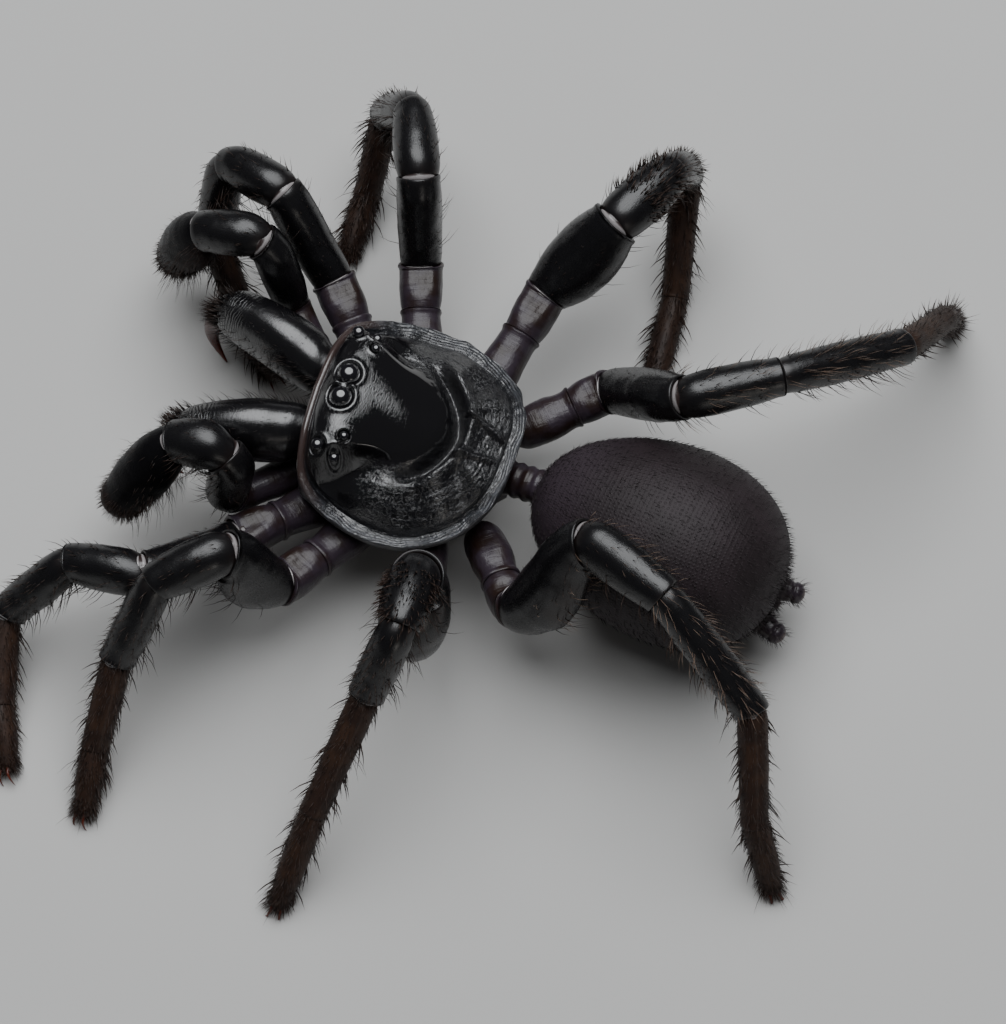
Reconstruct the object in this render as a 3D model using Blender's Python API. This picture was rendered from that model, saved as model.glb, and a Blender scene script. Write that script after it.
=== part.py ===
"""Trapdoor spider, a female mouse spider, modelled life size in a walking stance.

The animal faces -Y, its left side is +X and the floor is z = 0. Places are given from the
point of the floor below the fovea, the groove in the middle of the back, and the finished
model is then moved so that its box stands centred on the origin.
"""

import math
import random
from collections import namedtuple

import bmesh
import bpy
from mathutils import Matrix, Vector

MM = 0.001
GAP = 0.3 * MM          # left between pieces that meet
EYE_GAP = 0.08 * MM     # left between an eye and its socket

# Carapace: half of its rim from the front round to the rear, as x, y and z
RIM = (
    (0.0, -6.2, 7.4), (2.1, -6.1, 7.05), (3.7, -5.65, 6.15), (4.55, -4.3, 5.45), (4.9, -2.3, 4.95),
    (4.6, -0.5, 4.9), (3.5, 1.3, 5.35), (1.9, 2.3, 6.0), (0.0, 2.45, 6.1),
)
RIM_THICKNESS = 0.3
CARAPACE_CENTRE = (0.0, -1.9)
CARAPACE_FLOOR = 4.65           # its flat underside, above the hips
FRONT_WALL = (-5.9, -4.9)       # the face behind the jaws, and where it ends
CROWN = 8.6                     # top of the raised head part
CROWN_Y = -4.75
CROWN_FALL_ASIDE = (0.07, 0.16)     # how fast the crown falls to the sides, before and behind FALL_FROM
FALL_FROM = (-4.5, -2.0)
CROWN_SLOPE = 0.4               # the straight fall before and behind the crown, and how round it is
CROWN_ROUND = 0.7
HEAD_WIDE_Y = -2.5              # the head part rounds off behind it and widens before it
HEAD_HALF_WIDTH = 2.5
HEAD_REAR_LENGTH = 2.35
HEAD_REAR_POWER = 1.75
HEAD_FRONT_WIDER = 1.5
HEAD_FRONT_Y = -5.9
HEAD_FLANK = 0.7                # share of its half width where the head part's steep flank starts
FRONT_POWER = 16                # how late the head part turns down to the front rim
THORAX_TOP = 7.15
FLANGE_FROM = 0.9               # share of the way out where the flat rim starts
CREST_FROM = 0.93               # the same at the front, where the rim is a raised crest
CREST_Y = (-4.2, -5.6)          # where the flat rim turns into the crest
BRIM_HEIGHT = 0.08
CREST_HEIGHT = 0.26
GROOVE_AT = 1.06                # the deep groove behind the head part, in shares of its outline
GROOVE_WIDTH = 0.12
GROOVE_DEPTH = 0.85
GROOVE_FROM = (-2.3, -0.7)      # where along the animal the groove gets deep
RIM_STEPS = 48
HEAD_RINGS = (0.3, 0.55, 0.72, 0.86, 1.0, GROOVE_AT)    # in shares of the head part's outline
HEAD_REACH = 0.8                # most of the way to the rim that the head part's outline goes
THORAX_RINGS = (0.3, 0.65, 0.9, 1.0)                    # from the groove to the flat rim
RIM_RINGS = (0.45, 1.0)                                 # across the flat rim
UNDER_RING = 0.6

# Eyes of the left side: centre and radius; the rear ones are bumps of the carapace itself
FRONT_EYES = {
    "eye_median": ((0.53, -4.85, 8.52), 0.42),
    "eye_lateral": ((2.64, -5.15, 8.0), 0.26),
}
REAR_EYES = (((2.05, -4.2, 8.24), 0.19), ((2.78, -4.4, 7.5), 0.22))

# Underside plate with the body above it: half widths along the animal
STERNUM = (
    (-5.25, 0.5), (-4.8, 0.8), (-3.9, 1.3), (-2.4, 2.05), (-0.3, 2.2), (1.0, 1.7), (1.9, 0.9), (2.25, 0.5),
)
STERNUM_LEVELS = ((2.1, 0.72), (2.45, 0.94), (2.9, 1.0), (4.3, 1.0))    # height and size of each outline

PEDICEL_RADIUS = 0.75
ABDOMEN_CENTRE = (0.9, 8.95, 4.45)
ABDOMEN_YAW = 7.0               # the abdomen swings to the left
ABDOMEN_HALF = (4.1, 5.45, 3.85)
ABDOMEN_FULLER_REAR = 0.12
ABDOMEN_STEPS = 15
ABDOMEN_SIDES = 24
SPINNERET_ROOT = (0.7, 1.1, 1.7)    # aside, ahead of the rear end and below the middle
SPINNERET_HEADING = (0.2, 1.0, -0.25)
SPINNERET_LENGTH = 1.9
SPINNERET_RADIUS = 0.42
SPINNERET_SIZES = ((0.0, 1.1), (0.6, 1.1), (0.85, 0.9), (1.0, 0.5))
WAIST_Z = 4.0

# Jaws: base centre of the left one, tip centres, and widths and depths from base to tip
JAW_BASE = (1.5, -6.35, 5.85)
JAW_TIPS = {"left": (2.9, -11.55, 5.0), "right": (-3.3, -11.5, 5.0)}
JAW_WIDTHS = (2.35, 2.5, 2.4, 2.2, 1.75)
JAW_DEPTHS = (2.7, 3.2, 3.1, 2.7, 2.1)
JAW_ARCH = 0.35                 # how far the jaw's middle bends up
JAW_STEPS = 10
JAW_ROUND_FROM = 0.8            # where the jaw starts to round off towards its tip
JAW_ROUND_LENGTH = 0.23
COMB_TURNS = (20, 42, 64, 86, 108)  # digging spines at the tip, in degrees from the inner side
COMB_PLACE = 0.9
COMB_LENGTH = 0.6
FANG_ROOT = (0.1, -0.1, -1.45)  # from the jaw's tip
FANG_LENGTH = 3.3
FANG_RADIUS = 0.5
FANG_HOOK = (0.5, 0.3, 0.55)    # how far it bends inwards, back at its point and forward before it
FANG_STEPS = 7

# Limbs. Lengths of hip, femur, patella, tibia, metatarsus and tarsus
LEG_LENGTHS = {
    1: (5.75, 4.6, 3.2, 4.1, 3.8, 2.4),
    2: (6.0, 4.5, 3.3, 4.2, 4.0, 2.5),
    3: (6.1, 4.7, 3.4, 3.9, 5.5, 4.2),
    4: (4.7, 5.9, 4.1, 6.0, 5.0, 3.2),
}
HIP_ROOTS = {1: (1.95, -3.85), 2: (2.5, -2.4), 3: (2.6, -0.3), 4: (2.1, 1.5)}
HIP_ROOT_Z = 3.05
PALP_LENGTHS = (5.1, 4.2, 2.9, 4.0)
PALP_ROOT = (1.0, -5.3, 3.05)

# Stance: yaw and pitch of each length in degrees. Yaw turns from the left side, +X, towards
# the rear, +Y; pitch rises from level. The last length comes down to the floor by itself.
POSE = {
    "leg_1_left": ((-42, 10), (-40, 21), (-88, -11), (-50, -42), (15, -21), (25, None)),
    "leg_2_left": ((-29, 11), (-72, 66), (-51, -14), (-21, -50), (-1, -41), (6, None)),
    "leg_3_left": ((10, 11), (-174, 65), (4, 20), (-19, -54), (-12, -37), (-9, None)),
    "leg_4_left": ((38, 12), (133, 58), (67, 5), (61, -29), (21, -46), (41, None)),
    "leg_1_right": ((-139, 12), (-123, 46), (-110, -15), (-3, -64), (39, -29), (48, None)),
    "leg_2_right": ((-161, 11), (-161, 62), (-157, -8), (-128, -60), (-2, -50), (0, None)),
    "leg_3_right": ((166, 11), (138, 46), (154, -4), (175, -61), (12, -36), (4, None)),
    "leg_4_right": ((130, 12), (67, 51), (121, 2), (131, -19), (164, -46), (174, None)),
    "palp_left": ((-42, 11), (145, 77), (-89, -16), (-45, -52)),
    "palp_right": ((-136, 13), (-125, 66), (-87, -18), (-102, -70)),
}

# Width and depth along each length, from its near end to its far end
SHAPES = {
    "hip": ((1.3, 1.6), (1.75, 1.8), (1.85, 1.8), (1.6, 1.65), (1.85, 1.85), (1.8, 1.85)),
    "femur": ((1.75, 2.0), (1.85, 2.6), (1.9, 2.65), (1.9, 2.4), (1.8, 2.05)),
    "femur_3": ((2.1, 2.1), (2.75, 2.8), (2.95, 2.9), (2.75, 2.6), (2.2, 2.2)),
    "femur_4": ((1.9, 2.1), (2.15, 2.8), (2.2, 2.8), (2.1, 2.4), (1.85, 2.0)),
    "patella": ((1.8, 1.95), (1.9, 2.1), (1.9, 2.1), (1.8, 1.95), (1.6, 1.75)),
    "patella_3": ((2.0, 2.0), (2.1, 2.15), (2.15, 2.15), (2.05, 2.0), (1.75, 1.8)),
    "tibia": ((1.55, 1.65), (1.65, 1.75), (1.65, 1.7), (1.5, 1.55)),
    "metatarsus": ((1.25, 1.3), (1.25, 1.3), (1.2, 1.25), (1.15, 1.2)),
    "tarsus": ((1.1, 1.15), (1.15, 1.2), (1.1, 1.1), (0.85, 0.85)),
    "palp_hip": ((1.2, 1.4), (1.5, 1.5), (1.5, 1.5), (1.35, 1.4), (1.45, 1.5)),
    "palp_femur": ((1.45, 1.55), (1.65, 1.95), (1.7, 1.95), (1.65, 1.75)),
    "palp_patella": ((1.65, 1.7), (1.9, 2.0), (1.9, 2.0), (1.7, 1.75)),
    "palp_tip": ((1.6, 1.7), (2.05, 2.2), (2.3, 2.35), (2.2, 2.2), (1.9, 1.9)),
}
BELLIES = {                     # how far a length's middle bulges on the underside
    "femur": (0.1, 0.35, 0.35, 0.2, 0.0),
    "femur_3": (0.1, 0.35, 0.4, 0.25, 0.0),
    "femur_4": (0.1, 0.4, 0.35, 0.1, 0.0),
}
BEND_RADIUS = 1.15
BEND_STEP = 20.0                # degrees between the rings of a bend
RING_STEP = 1.0
SIDES = {"femur": 12, "patella": 12}
PLAIN_SIDES = 10
EDGE = 0.12                     # rounding of a piece's rim at a joint
TIP_TURNS = (0.0, 30.0, 58.0)   # rings of a limb's round tip, in degrees
FOOT_HEIGHT = 0.78              # height of the round tip's centre over its radius

# Spines: number, length, lean towards the tip of the limb in degrees, stretch along the piece,
# and sector round it, where 90 is its upper side and 270 its underside
SPINES = {
    "patella_3": (15, 0.65, 30.0, (0.3, 0.92), (15.0, 165.0)),
    "tibia": (3, 1.0, 50.0, (0.3, 0.8), (185.0, 355.0)),
    "foot": (8, 1.0, 50.0, (0.1, 0.86), (155.0, 385.0)),
    "palp_tip": (10, 0.7, 40.0, (0.3, 0.95), (175.0, 365.0)),
}
SPINE_THICKNESS = 0.48
SPINE_SUNK = 0.35               # how far the root goes into the piece
SPINE_SPREAD = 0.618            # share of the sector from one spine to the next
FLOOR_CLEAR = 0.2
CLAW_LENGTH = 0.8
CLAW_APART = 0.22
Ring = namedtuple("Ring", "centre heading across up half_width half_depth")

COLOURS = {
    "black_shell": ((0.012, 0.012, 0.014), 0.25),
    "hip_shell": ((0.045, 0.036, 0.04), 0.38),
    "foot_shell": ((0.03, 0.02, 0.016), 0.45),
    "fang": ((0.08, 0.012, 0.008), 0.2),
    "abdomen_skin": ((0.045, 0.034, 0.042), 0.65),
    "eye": ((0.01, 0.01, 0.012), 0.06),
}


def material(name):
    made = bpy.data.materials.get(name)
    if made is None:
        colour, roughness = COLOURS[name]
        made = bpy.data.materials.new(name)
        made.use_nodes = True
        shader = made.node_tree.nodes["Principled BSDF"]
        shader.inputs["Base Color"].default_value = (*colour, 1.0)
        shader.inputs["Roughness"].default_value = roughness
        shader.inputs["Metallic"].default_value = 0.0
    return made


def add_object(name, mesh, slot):
    mesh.materials.append(material(slot))
    mesh.shade_smooth()
    mesh.set_sharp_from_angle(angle=math.radians(40))
    made = bpy.data.objects.new(name, mesh)
    bpy.context.scene.collection.objects.link(made)
    return made


def skin(name, rings, tip=None):
    """A closed mesh through rings of points in mm; its ends are flat, or run to a tip."""
    shell = bmesh.new()
    loops = [[shell.verts.new(Vector(point) * MM) for point in ring] for ring in rings]
    count = len(loops[0])
    for near, far in zip(loops, loops[1:]):
        for i in range(count):
            j = (i + 1) % count
            shell.faces.new((near[i], near[j], far[j], far[i]))
    shell.faces.new(loops[0][::-1])
    if tip is None:
        shell.faces.new(loops[-1])
    else:
        point = shell.verts.new(Vector(tip) * MM)
        for i in range(count):
            shell.faces.new((loops[-1][i], loops[-1][(i + 1) % count], point))
    bmesh.ops.recalc_face_normals(shell, faces=shell.faces)
    mesh = bpy.data.meshes.new(name)
    shell.to_mesh(mesh)
    shell.free()
    return mesh


def blend(stops, t):
    """Value at t, from 0 to 1, of evenly spaced stops joined smoothly; stops may be tuples."""
    place = min(max(t, 0.0), 1.0) * (len(stops) - 1)
    i = min(int(place), len(stops) - 2)
    u = place - i
    before = stops[max(i - 1, 0)]
    after = stops[min(i + 2, len(stops) - 1)]

    def cubic(a, b, c, d):
        return b + 0.5 * u * (c - a + u * (2 * a - 5 * b + 4 * c - d + u * (3 * (b - c) + d - a)))

    if isinstance(stops[0], (tuple, Vector)):
        return tuple(cubic(*values) for values in zip(before, stops[i], stops[i + 1], after))
    return cubic(before, stops[i], stops[i + 1], after)


def step_between(low, high, value):
    """Smooth step from 0 to 1 as value goes from low to high."""
    t = min(max((value - low) / (high - low), 0.0), 1.0)
    return t * t * (3.0 - 2.0 * t)


def mirrored(point, side):
    return (point[0] * side, *point[1:])


def rim_point(turn):
    """Rim of the carapace; turn goes from 0 at the front to 1 round the left side."""
    half = abs(2.0 * turn if turn <= 0.5 else 2.0 - 2.0 * turn)
    x, y, z = blend(RIM, half)
    return (x if turn <= 0.5 else -x), y, z


def head_place(x, y):
    """0 on the middle line of the head part and 1 round its foot."""
    if y > HEAD_WIDE_Y:
        back = (y - HEAD_WIDE_Y) / HEAD_REAR_LENGTH
        aside = abs(x) / HEAD_HALF_WIDTH
        return (aside ** HEAD_REAR_POWER + back ** HEAD_REAR_POWER) ** (1.0 / HEAD_REAR_POWER)
    return abs(x) / (HEAD_HALF_WIDTH + HEAD_FRONT_WIDER * step_between(HEAD_WIDE_Y, HEAD_FRONT_Y, y))


def back_height(x, y, rho, rim_z):
    """Height of the carapace's upper side; rho is 0 at its centre and 1 at its rim."""
    facing = step_between(*CREST_Y, y)
    flange_from = FLANGE_FROM + (CREST_FROM - FLANGE_FROM) * facing
    inner = min(rho / flange_from, 1.0)
    place = head_place(x, y)
    aside, aside_rear = CROWN_FALL_ASIDE
    aside += (aside_rear - aside) * step_between(*FALL_FROM, y)
    along = math.hypot(y - CROWN_Y, CROWN_ROUND) - CROWN_ROUND
    crown = CROWN - aside * x * x - CROWN_SLOPE * along
    thorax = rim_z + (THORAX_TOP - rim_z) * (1.0 - inner ** 2.8) ** 0.75
    dome = thorax + (crown - thorax) * (1.0 - step_between(HEAD_FLANK, 1.0, place))
    front = rim_z + (dome - rim_z) * (1.0 - inner ** FRONT_POWER) ** 0.6
    height = dome + (front - dome) * step_between(-1.2, -2.6, y)
    outward = max(rho - flange_from, 0.0) / (1.0 - flange_from)
    crest = CREST_HEIGHT * math.sin(math.pi * (0.12 + 0.88 * outward))
    height += (BRIM_HEIGHT + (crest - BRIM_HEIGHT) * facing) * step_between(0.85, 1.0, inner)
    off = (place - GROOVE_AT) / GROOVE_WIDTH
    depth = GROOVE_DEPTH * step_between(*GROOVE_FROM, y) * step_between(1.0, 0.8, inner)
    return height - depth * math.exp(-off * off)


def ring_places(x, y):
    """Shares of the way from the carapace's centre to a point of its rim where the rings run."""
    cx, cy = CARAPACE_CENTRE
    low, high = 0.0, HEAD_REACH
    while high - low > 0.001:
        middle = 0.5 * (low + high)
        inside = head_place(cx + (x - cx) * middle, cy + (y - cy) * middle) < 1.0
        low, high = (middle, high) if inside else (low, middle)
    flange_from = FLANGE_FROM + (CREST_FROM - FLANGE_FROM) * step_between(*CREST_Y, y)
    places = [low * share for share in HEAD_RINGS]
    places += [places[-1] + (flange_from - places[-1]) * share for share in THORAX_RINGS]
    return places + [flange_from + (1.0 - flange_from) * share for share in RIM_RINGS]


def carapace():
    shell = bmesh.new()
    cx, cy = CARAPACE_CENTRE
    rims = [rim_point(i / RIM_STEPS) for i in range(RIM_STEPS)]
    columns = []
    for x, y, z in rims:
        column = []
        for rho in ring_places(x, y):
            px, py = cx + (x - cx) * rho, cy + (y - cy) * rho
            column.append(shell.verts.new(Vector((px, py, back_height(px, py, rho, z))) * MM))
        columns.append(column)
    upper = list(zip(*columns))
    lower = []
    for rho in (UNDER_RING, 1.0):
        ring = []
        for x, y, z in rims:
            px, py = cx + (x - cx) * rho, cy + (y - cy) * rho
            wall = step_between(FRONT_WALL[1], FRONT_WALL[0], y)
            low_rim = (z - RIM_THICKNESS) * (1.0 - wall) + CARAPACE_FLOOR * wall
            low = CARAPACE_FLOOR + (low_rim - CARAPACE_FLOOR) * rho ** 4
            ring.append(shell.verts.new(Vector((px, py, low)) * MM))
        lower.append(ring)
    top = shell.verts.new(Vector((cx, cy, back_height(cx, cy, 0.0, CARAPACE_FLOOR))) * MM)
    bottom = shell.verts.new(Vector((cx, cy, CARAPACE_FLOOR)) * MM)
    for i in range(RIM_STEPS):
        j = (i + 1) % RIM_STEPS
        shell.faces.new((top, upper[0][i], upper[0][j]))
        for near, far in zip(upper, upper[1:]):
            shell.faces.new((near[i], far[i], far[j], near[j]))
        shell.faces.new((upper[-1][i], lower[-1][i], lower[-1][j], upper[-1][j]))
        shell.faces.new((lower[-1][i], lower[0][i], lower[0][j], lower[-1][j]))
        shell.faces.new((lower[0][i], bottom, lower[0][j]))
    bmesh.ops.recalc_face_normals(shell, faces=shell.faces)
    mesh = bpy.data.meshes.new("carapace")
    shell.to_mesh(mesh)
    shell.free()
    return add_object("carapace", mesh, "black_shell")


def ball(name, centre, radius, segments=12):
    shell = bmesh.new()
    bmesh.ops.create_uvsphere(shell, u_segments=segments, v_segments=segments // 2 + 2, radius=radius * MM)
    bmesh.ops.translate(shell, verts=shell.verts, vec=Vector(centre) * MM)
    mesh = bpy.data.meshes.new(name)
    shell.to_mesh(mesh)
    shell.free()
    return mesh


def combine(target, pieces, operation):
    """Join pieces to the target, or cut them from it, and keep its largest closed surface."""
    group = bpy.data.collections.new("pieces")
    for piece in pieces:
        for owner in list(piece.users_collection):
            owner.objects.unlink(piece)
        group.objects.link(piece)
    bpy.context.scene.collection.children.link(group)
    modifier = target.modifiers.new("combine", "BOOLEAN")
    modifier.operation = operation
    modifier.operand_type = "COLLECTION"
    modifier.collection = group
    for solver in ("EXACT", "MANIFOLD"):
        modifier.solver = solver
        result = bpy.data.meshes.new_from_object(target.evaluated_get(bpy.context.evaluated_depsgraph_get()))
        if closed(result):
            break
    target.modifiers.remove(modifier)
    old = target.data
    target.data = result
    bpy.data.meshes.remove(old)
    for piece in pieces:
        bpy.data.objects.remove(piece)
    bpy.data.collections.remove(group)
    keep_largest(result)


def closed(mesh):
    """Whether every edge of the mesh joins just two faces."""
    shell = bmesh.new()
    shell.from_mesh(mesh)
    whole = all(edge.is_manifold for edge in shell.edges)
    shell.free()
    return whole


def keep_largest(mesh):
    shell = bmesh.new()
    shell.from_mesh(mesh)
    left = set(shell.faces)
    surfaces = []
    while left:
        start = left.pop()
        surface, front = {start}, [start]
        while front:
            for edge in front.pop().edges:
                for face in edge.link_faces:
                    if face in left:
                        left.remove(face)
                        surface.add(face)
                        front.append(face)
        surfaces.append(surface)
    surfaces.sort(key=lambda faces: sum(face.calc_area() for face in faces))
    scraps = [face for surface in surfaces[:-1] for face in surface]
    bmesh.ops.delete(shell, geom=scraps, context="FACES")
    bmesh.ops.delete(shell, geom=[v for v in shell.verts if not v.link_faces], context="VERTS")
    shell.to_mesh(mesh)
    shell.free()


def loose(name, mesh):
    made = bpy.data.objects.new(name, mesh)
    bpy.context.scene.collection.objects.link(made)
    return made


def eyes(shield):
    sockets, bumps = [], []
    for side_name, side in (("left", 1), ("right", -1)):
        for name, (centre, radius) in FRONT_EYES.items():
            place = mirrored(centre, side)
            add_object(f"{name}_{side_name}", ball(name, place, radius), "eye")
            sockets.append(loose("socket", ball("socket", place, radius + EYE_GAP)))
        for centre, radius in REAR_EYES:
            bumps.append(loose("bump", ball("bump", mirrored(centre, side), radius, 8)))
    combine(shield, bumps, "UNION")
    combine(shield, sockets, "DIFFERENCE")


def sternum():
    rings = []
    outline = [(w, y) for y, w in STERNUM] + [(-w, y) for y, w in reversed(STERNUM)]
    middle = 0.5 * (STERNUM[0][0] + STERNUM[-1][0])
    for z, size in STERNUM_LEVELS:
        rings.append([(x * size, middle + (y - middle) * size, z) for x, y in outline])
    return add_object("sternum", skin("sternum", rings), "hip_shell")


def abdomen_frame():
    return Matrix.Translation(ABDOMEN_CENTRE) @ Matrix.Rotation(-math.radians(ABDOMEN_YAW), 4, "Z")


def abdomen():
    frame = abdomen_frame()
    half_w, half_l, half_h = ABDOMEN_HALF
    rings = []
    for k in range(1, ABDOMEN_STEPS):
        angle = math.pi * k / ABDOMEN_STEPS
        along = -math.cos(angle)
        girth = math.sin(angle) ** 0.9 * (1.0 + ABDOMEN_FULLER_REAR * along)
        rings.append([
            frame @ Vector((half_w * girth * math.cos(a), half_l * along, half_h * girth * math.sin(a)))
            for a in (2.0 * math.pi * i / ABDOMEN_SIDES for i in range(ABDOMEN_SIDES))
        ])
    body = add_object("abdomen", skin("abdomen", rings, frame @ Vector((0.0, half_l, 0.0))), "abdomen_skin")
    waist_front = Vector((0.0, STERNUM[-1][0] + GAP / MM, WAIST_Z))
    front_end = Vector(rings[0][0]).lerp(Vector(rings[0][ABDOMEN_SIDES // 2]), 0.5)
    waist_rear = front_end + (waist_front - front_end).normalized() * GAP / MM
    add_object("pedicel", skin("pedicel", [
        disc(waist_front, waist_rear - waist_front, PEDICEL_RADIUS, 12),
        disc(waist_rear, waist_rear - waist_front, PEDICEL_RADIUS, 12),
    ]), "hip_shell")
    spinnerets = []
    aside, ahead, below = SPINNERET_ROOT
    for side in (1, -1):
        root = frame @ Vector((aside * side, half_l - ahead, -below))
        heading = (frame.to_3x3() @ Vector(mirrored(SPINNERET_HEADING, side))).normalized()
        rings = [
            disc(root + heading * SPINNERET_LENGTH * t, heading, SPINNERET_RADIUS * size, 10)
            for t, size in SPINNERET_SIZES
        ]
        spinnerets.append(loose("spinneret", skin("spinneret", rings)))
    combine(body, spinnerets, "UNION")


def disc(centre, axis, radius, count, across=None, depth=None):
    """Ring of points round an axis; across is the direction of its first radius."""
    axis = Vector(axis).normalized()
    if across is None:
        across = axis.cross(Vector((0.0, 0.0, 1.0)))
    across = Vector(across).normalized()
    up = across.cross(axis).normalized()
    deep = radius if depth is None else depth
    return [
        Vector(centre) + across * radius * math.cos(a) + up * deep * math.sin(a)
        for a in (2.0 * math.pi * i / count for i in range(count))
    ]


def jaw_rings(base, tip):
    rows = []
    for k in range(JAW_STEPS + 1):
        t = k / JAW_STEPS
        width, depth = blend(JAW_WIDTHS, t) / 2, blend(JAW_DEPTHS, t) / 2
        rounding = (1.0 - max(0.0, (t - JAW_ROUND_FROM) / JAW_ROUND_LENGTH) ** 2) ** 0.5
        arch = Vector((0.0, 0.0, JAW_ARCH * math.sin(math.pi * t)))
        heading = Vector((0.0, -1.0, 0.0)) if k == 0 else (tip - base).normalized()
        rows.append((base.lerp(tip, t) + arch, heading, width * rounding, depth * rounding, 0.0))
    return framed(rows, Vector((-1.0, 0.0, 0.0)))


def jaws():
    for side_name, side in (("left", 1), ("right", -1)):
        base, tip = Vector(mirrored(JAW_BASE, side)), Vector(JAW_TIPS[side_name])
        rings = jaw_rings(base, tip)
        jaw = add_object(f"chelicera_{side_name}", skin("chelicera", outlines(rings, 16)), "black_shell")
        comb = []
        for turn in COMB_TURNS:
            root, out, ahead = spot(rings, COMB_PLACE, turn if side > 0 else 180 - turn)
            comb.append(spine(root, (out + ahead * 0.6).normalized(), COMB_LENGTH, ahead * 0.1))
        combine(jaw, comb, "UNION")
        root = tip + Vector(mirrored(FANG_ROOT, side))
        inwards, back, forward = FANG_HOOK
        rings = []
        for k in range(FANG_STEPS):
            t = k / FANG_STEPS
            arc = math.pi * t
            curve = Vector((-inwards * side * t * t, back * t - forward * math.sin(arc), -FANG_LENGTH * t))
            rise = back - forward * math.pi * math.cos(arc)
            ahead = Vector((-2.0 * inwards * side * t, rise, -FANG_LENGTH))
            rings.append(disc(root + curve, ahead, FANG_RADIUS * (1.0 - 0.9 * t), 10))
        point = root + Vector((-inwards * side, back, -FANG_LENGTH))
        add_object(f"fang_{side_name}", skin("fang", rings, point), "fang")


def heading_of(yaw, pitch):
    yaw, pitch = math.radians(yaw), math.radians(pitch)
    return Vector((math.cos(yaw) * math.cos(pitch), math.sin(yaw) * math.cos(pitch), math.sin(pitch)))


def limb_joints(root, lengths, pose, foot_height):
    """Joint points of a limb; where a pitch is None the length ends at the foot's height."""
    points = [Vector(root)]
    for length, (yaw, pitch) in zip(lengths, pose):
        if pitch is None:
            pitch = math.degrees(math.asin((foot_height - points[-1].z) / length))
        points.append(points[-1] + heading_of(yaw, pitch) * length)
    return points


def limb_path(joints):
    """Stations (point, heading) along a limb with rounded bends, and the index of each joint."""
    stations = []
    marks = [0]
    headings = [(b - a).normalized() for a, b in zip(joints, joints[1:])]
    cursor = joints[0]
    for i, corner in enumerate(joints[1:-1], start=1):
        h0, h1 = headings[i - 1], headings[i]
        turn = h0.angle(h1)
        reach = BEND_RADIUS * math.tan(turn / 2)
        start, end = corner - h0 * reach, corner + h1 * reach
        straight(stations, cursor, start, h0)
        steps = max(2, 2 * math.ceil(math.degrees(turn) / BEND_STEP / 2))
        axis = h0.cross(h1).normalized()
        centre = start + (axis.cross(h0)) * BEND_RADIUS
        for k in range(steps + 1):
            turned = Matrix.Rotation(turn * k / steps, 3, axis)
            stations.append((centre + turned @ (start - centre), turned @ h0))
            if k == steps // 2:
                marks.append(len(stations) - 1)
        cursor = end
    straight(stations, cursor, joints[-1], headings[-1])
    stations.append((joints[-1], headings[-1]))
    marks.append(len(stations) - 1)
    return stations, marks


def straight(stations, start, end, heading):
    """Stations from start up to, but without, end."""
    count = max(1, round((end - start).length / RING_STEP))
    first = 0 if not stations else 1
    for k in range(first, count):
        stations.append((start.lerp(end, k / count), heading))


def shape_of(part, number):
    named = f"{part}_{number}"
    return named if named in SHAPES else part


def limb_rings(stations, marks, part_index, shape, round_end):
    """Rows of one length of a limb between its two joints, with gaps and rounded rims."""
    run = stations[marks[part_index]:marks[part_index + 1] + 1]
    half = 0.5 * GAP / MM
    places, headings = [p for p, _ in run], [h for _, h in run]
    places[0] = places[0] + headings[0] * (half if part_index else 0.0)
    if not round_end:
        places[-1] = places[-1] - headings[-1] * half
    spans = [0.0]
    for a, b in zip(places, places[1:]):
        spans.append(spans[-1] + (b - a).length)
    total = spans[-1]
    rows = [(places[0], headings[0], 0.0, 0.86)]
    rows.append((places[0] + headings[0] * EDGE, headings[0], EDGE / total, 1.0))
    for place, heading, span in zip(places[1:-1], headings[1:-1], spans[1:-1]):
        if span > 3 * EDGE and total - span > 3 * EDGE:
            rows.append((place, heading, span / total, 1.0))
    if round_end:
        radius = 0.5 * SHAPES[shape][-1][1]
        for turn in TIP_TURNS:
            angle = math.radians(turn)
            place = places[-1] + headings[-1] * radius * math.sin(angle)
            rows.append((place, headings[-1], 1.0, math.cos(angle)))
    else:
        rows.append((places[-1] - headings[-1] * EDGE, headings[-1], 1.0 - EDGE / total, 1.0))
        rows.append((places[-1], headings[-1], 1.0, 0.86))
    rings = []
    for place, heading, t, size in rows:
        width, depth = blend(SHAPES[shape], t)
        belly = blend(BELLIES[shape], t) if shape in BELLIES else 0.0
        rings.append((place, heading, 0.5 * width * size, 0.5 * depth * size, belly))
    return rings


def framed(rows, across):
    """Rings from rows of place, heading, half width, half depth and belly, without twist."""
    rings = []
    for place, heading, half_width, half_depth, belly in rows:
        across = (across - heading * across.dot(heading)).normalized()
        up = across.cross(heading).normalized()
        rings.append(Ring(place - up * belly, heading, across, up, half_width, half_depth))
    return rings


def outlines(rings, sides):
    return [disc(r.centre, r.heading, r.half_width, sides, r.across, r.half_depth) for r in rings]


def spot(rings, t, turn):
    """Point on the skin, at t along it and turn degrees round it, its normal and its heading."""
    spans = [0.0]
    for near, far in zip(rings, rings[1:]):
        spans.append(spans[-1] + (far.centre - near.centre).length)
    i = next(k for k in range(len(rings) - 1) if spans[k + 1] >= t * spans[-1])
    near, far = rings[i], rings[i + 1]
    u = (t * spans[-1] - spans[i]) / (spans[i + 1] - spans[i])
    width = near.half_width + (far.half_width - near.half_width) * u
    depth = near.half_depth + (far.half_depth - near.half_depth) * u
    cos, sin = math.cos(math.radians(turn)), math.sin(math.radians(turn))
    point = near.centre.lerp(far.centre, u) + near.across * cos * width + near.up * sin * depth
    return point, (near.across * cos / width + near.up * sin / depth).normalized(), near.heading


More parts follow.
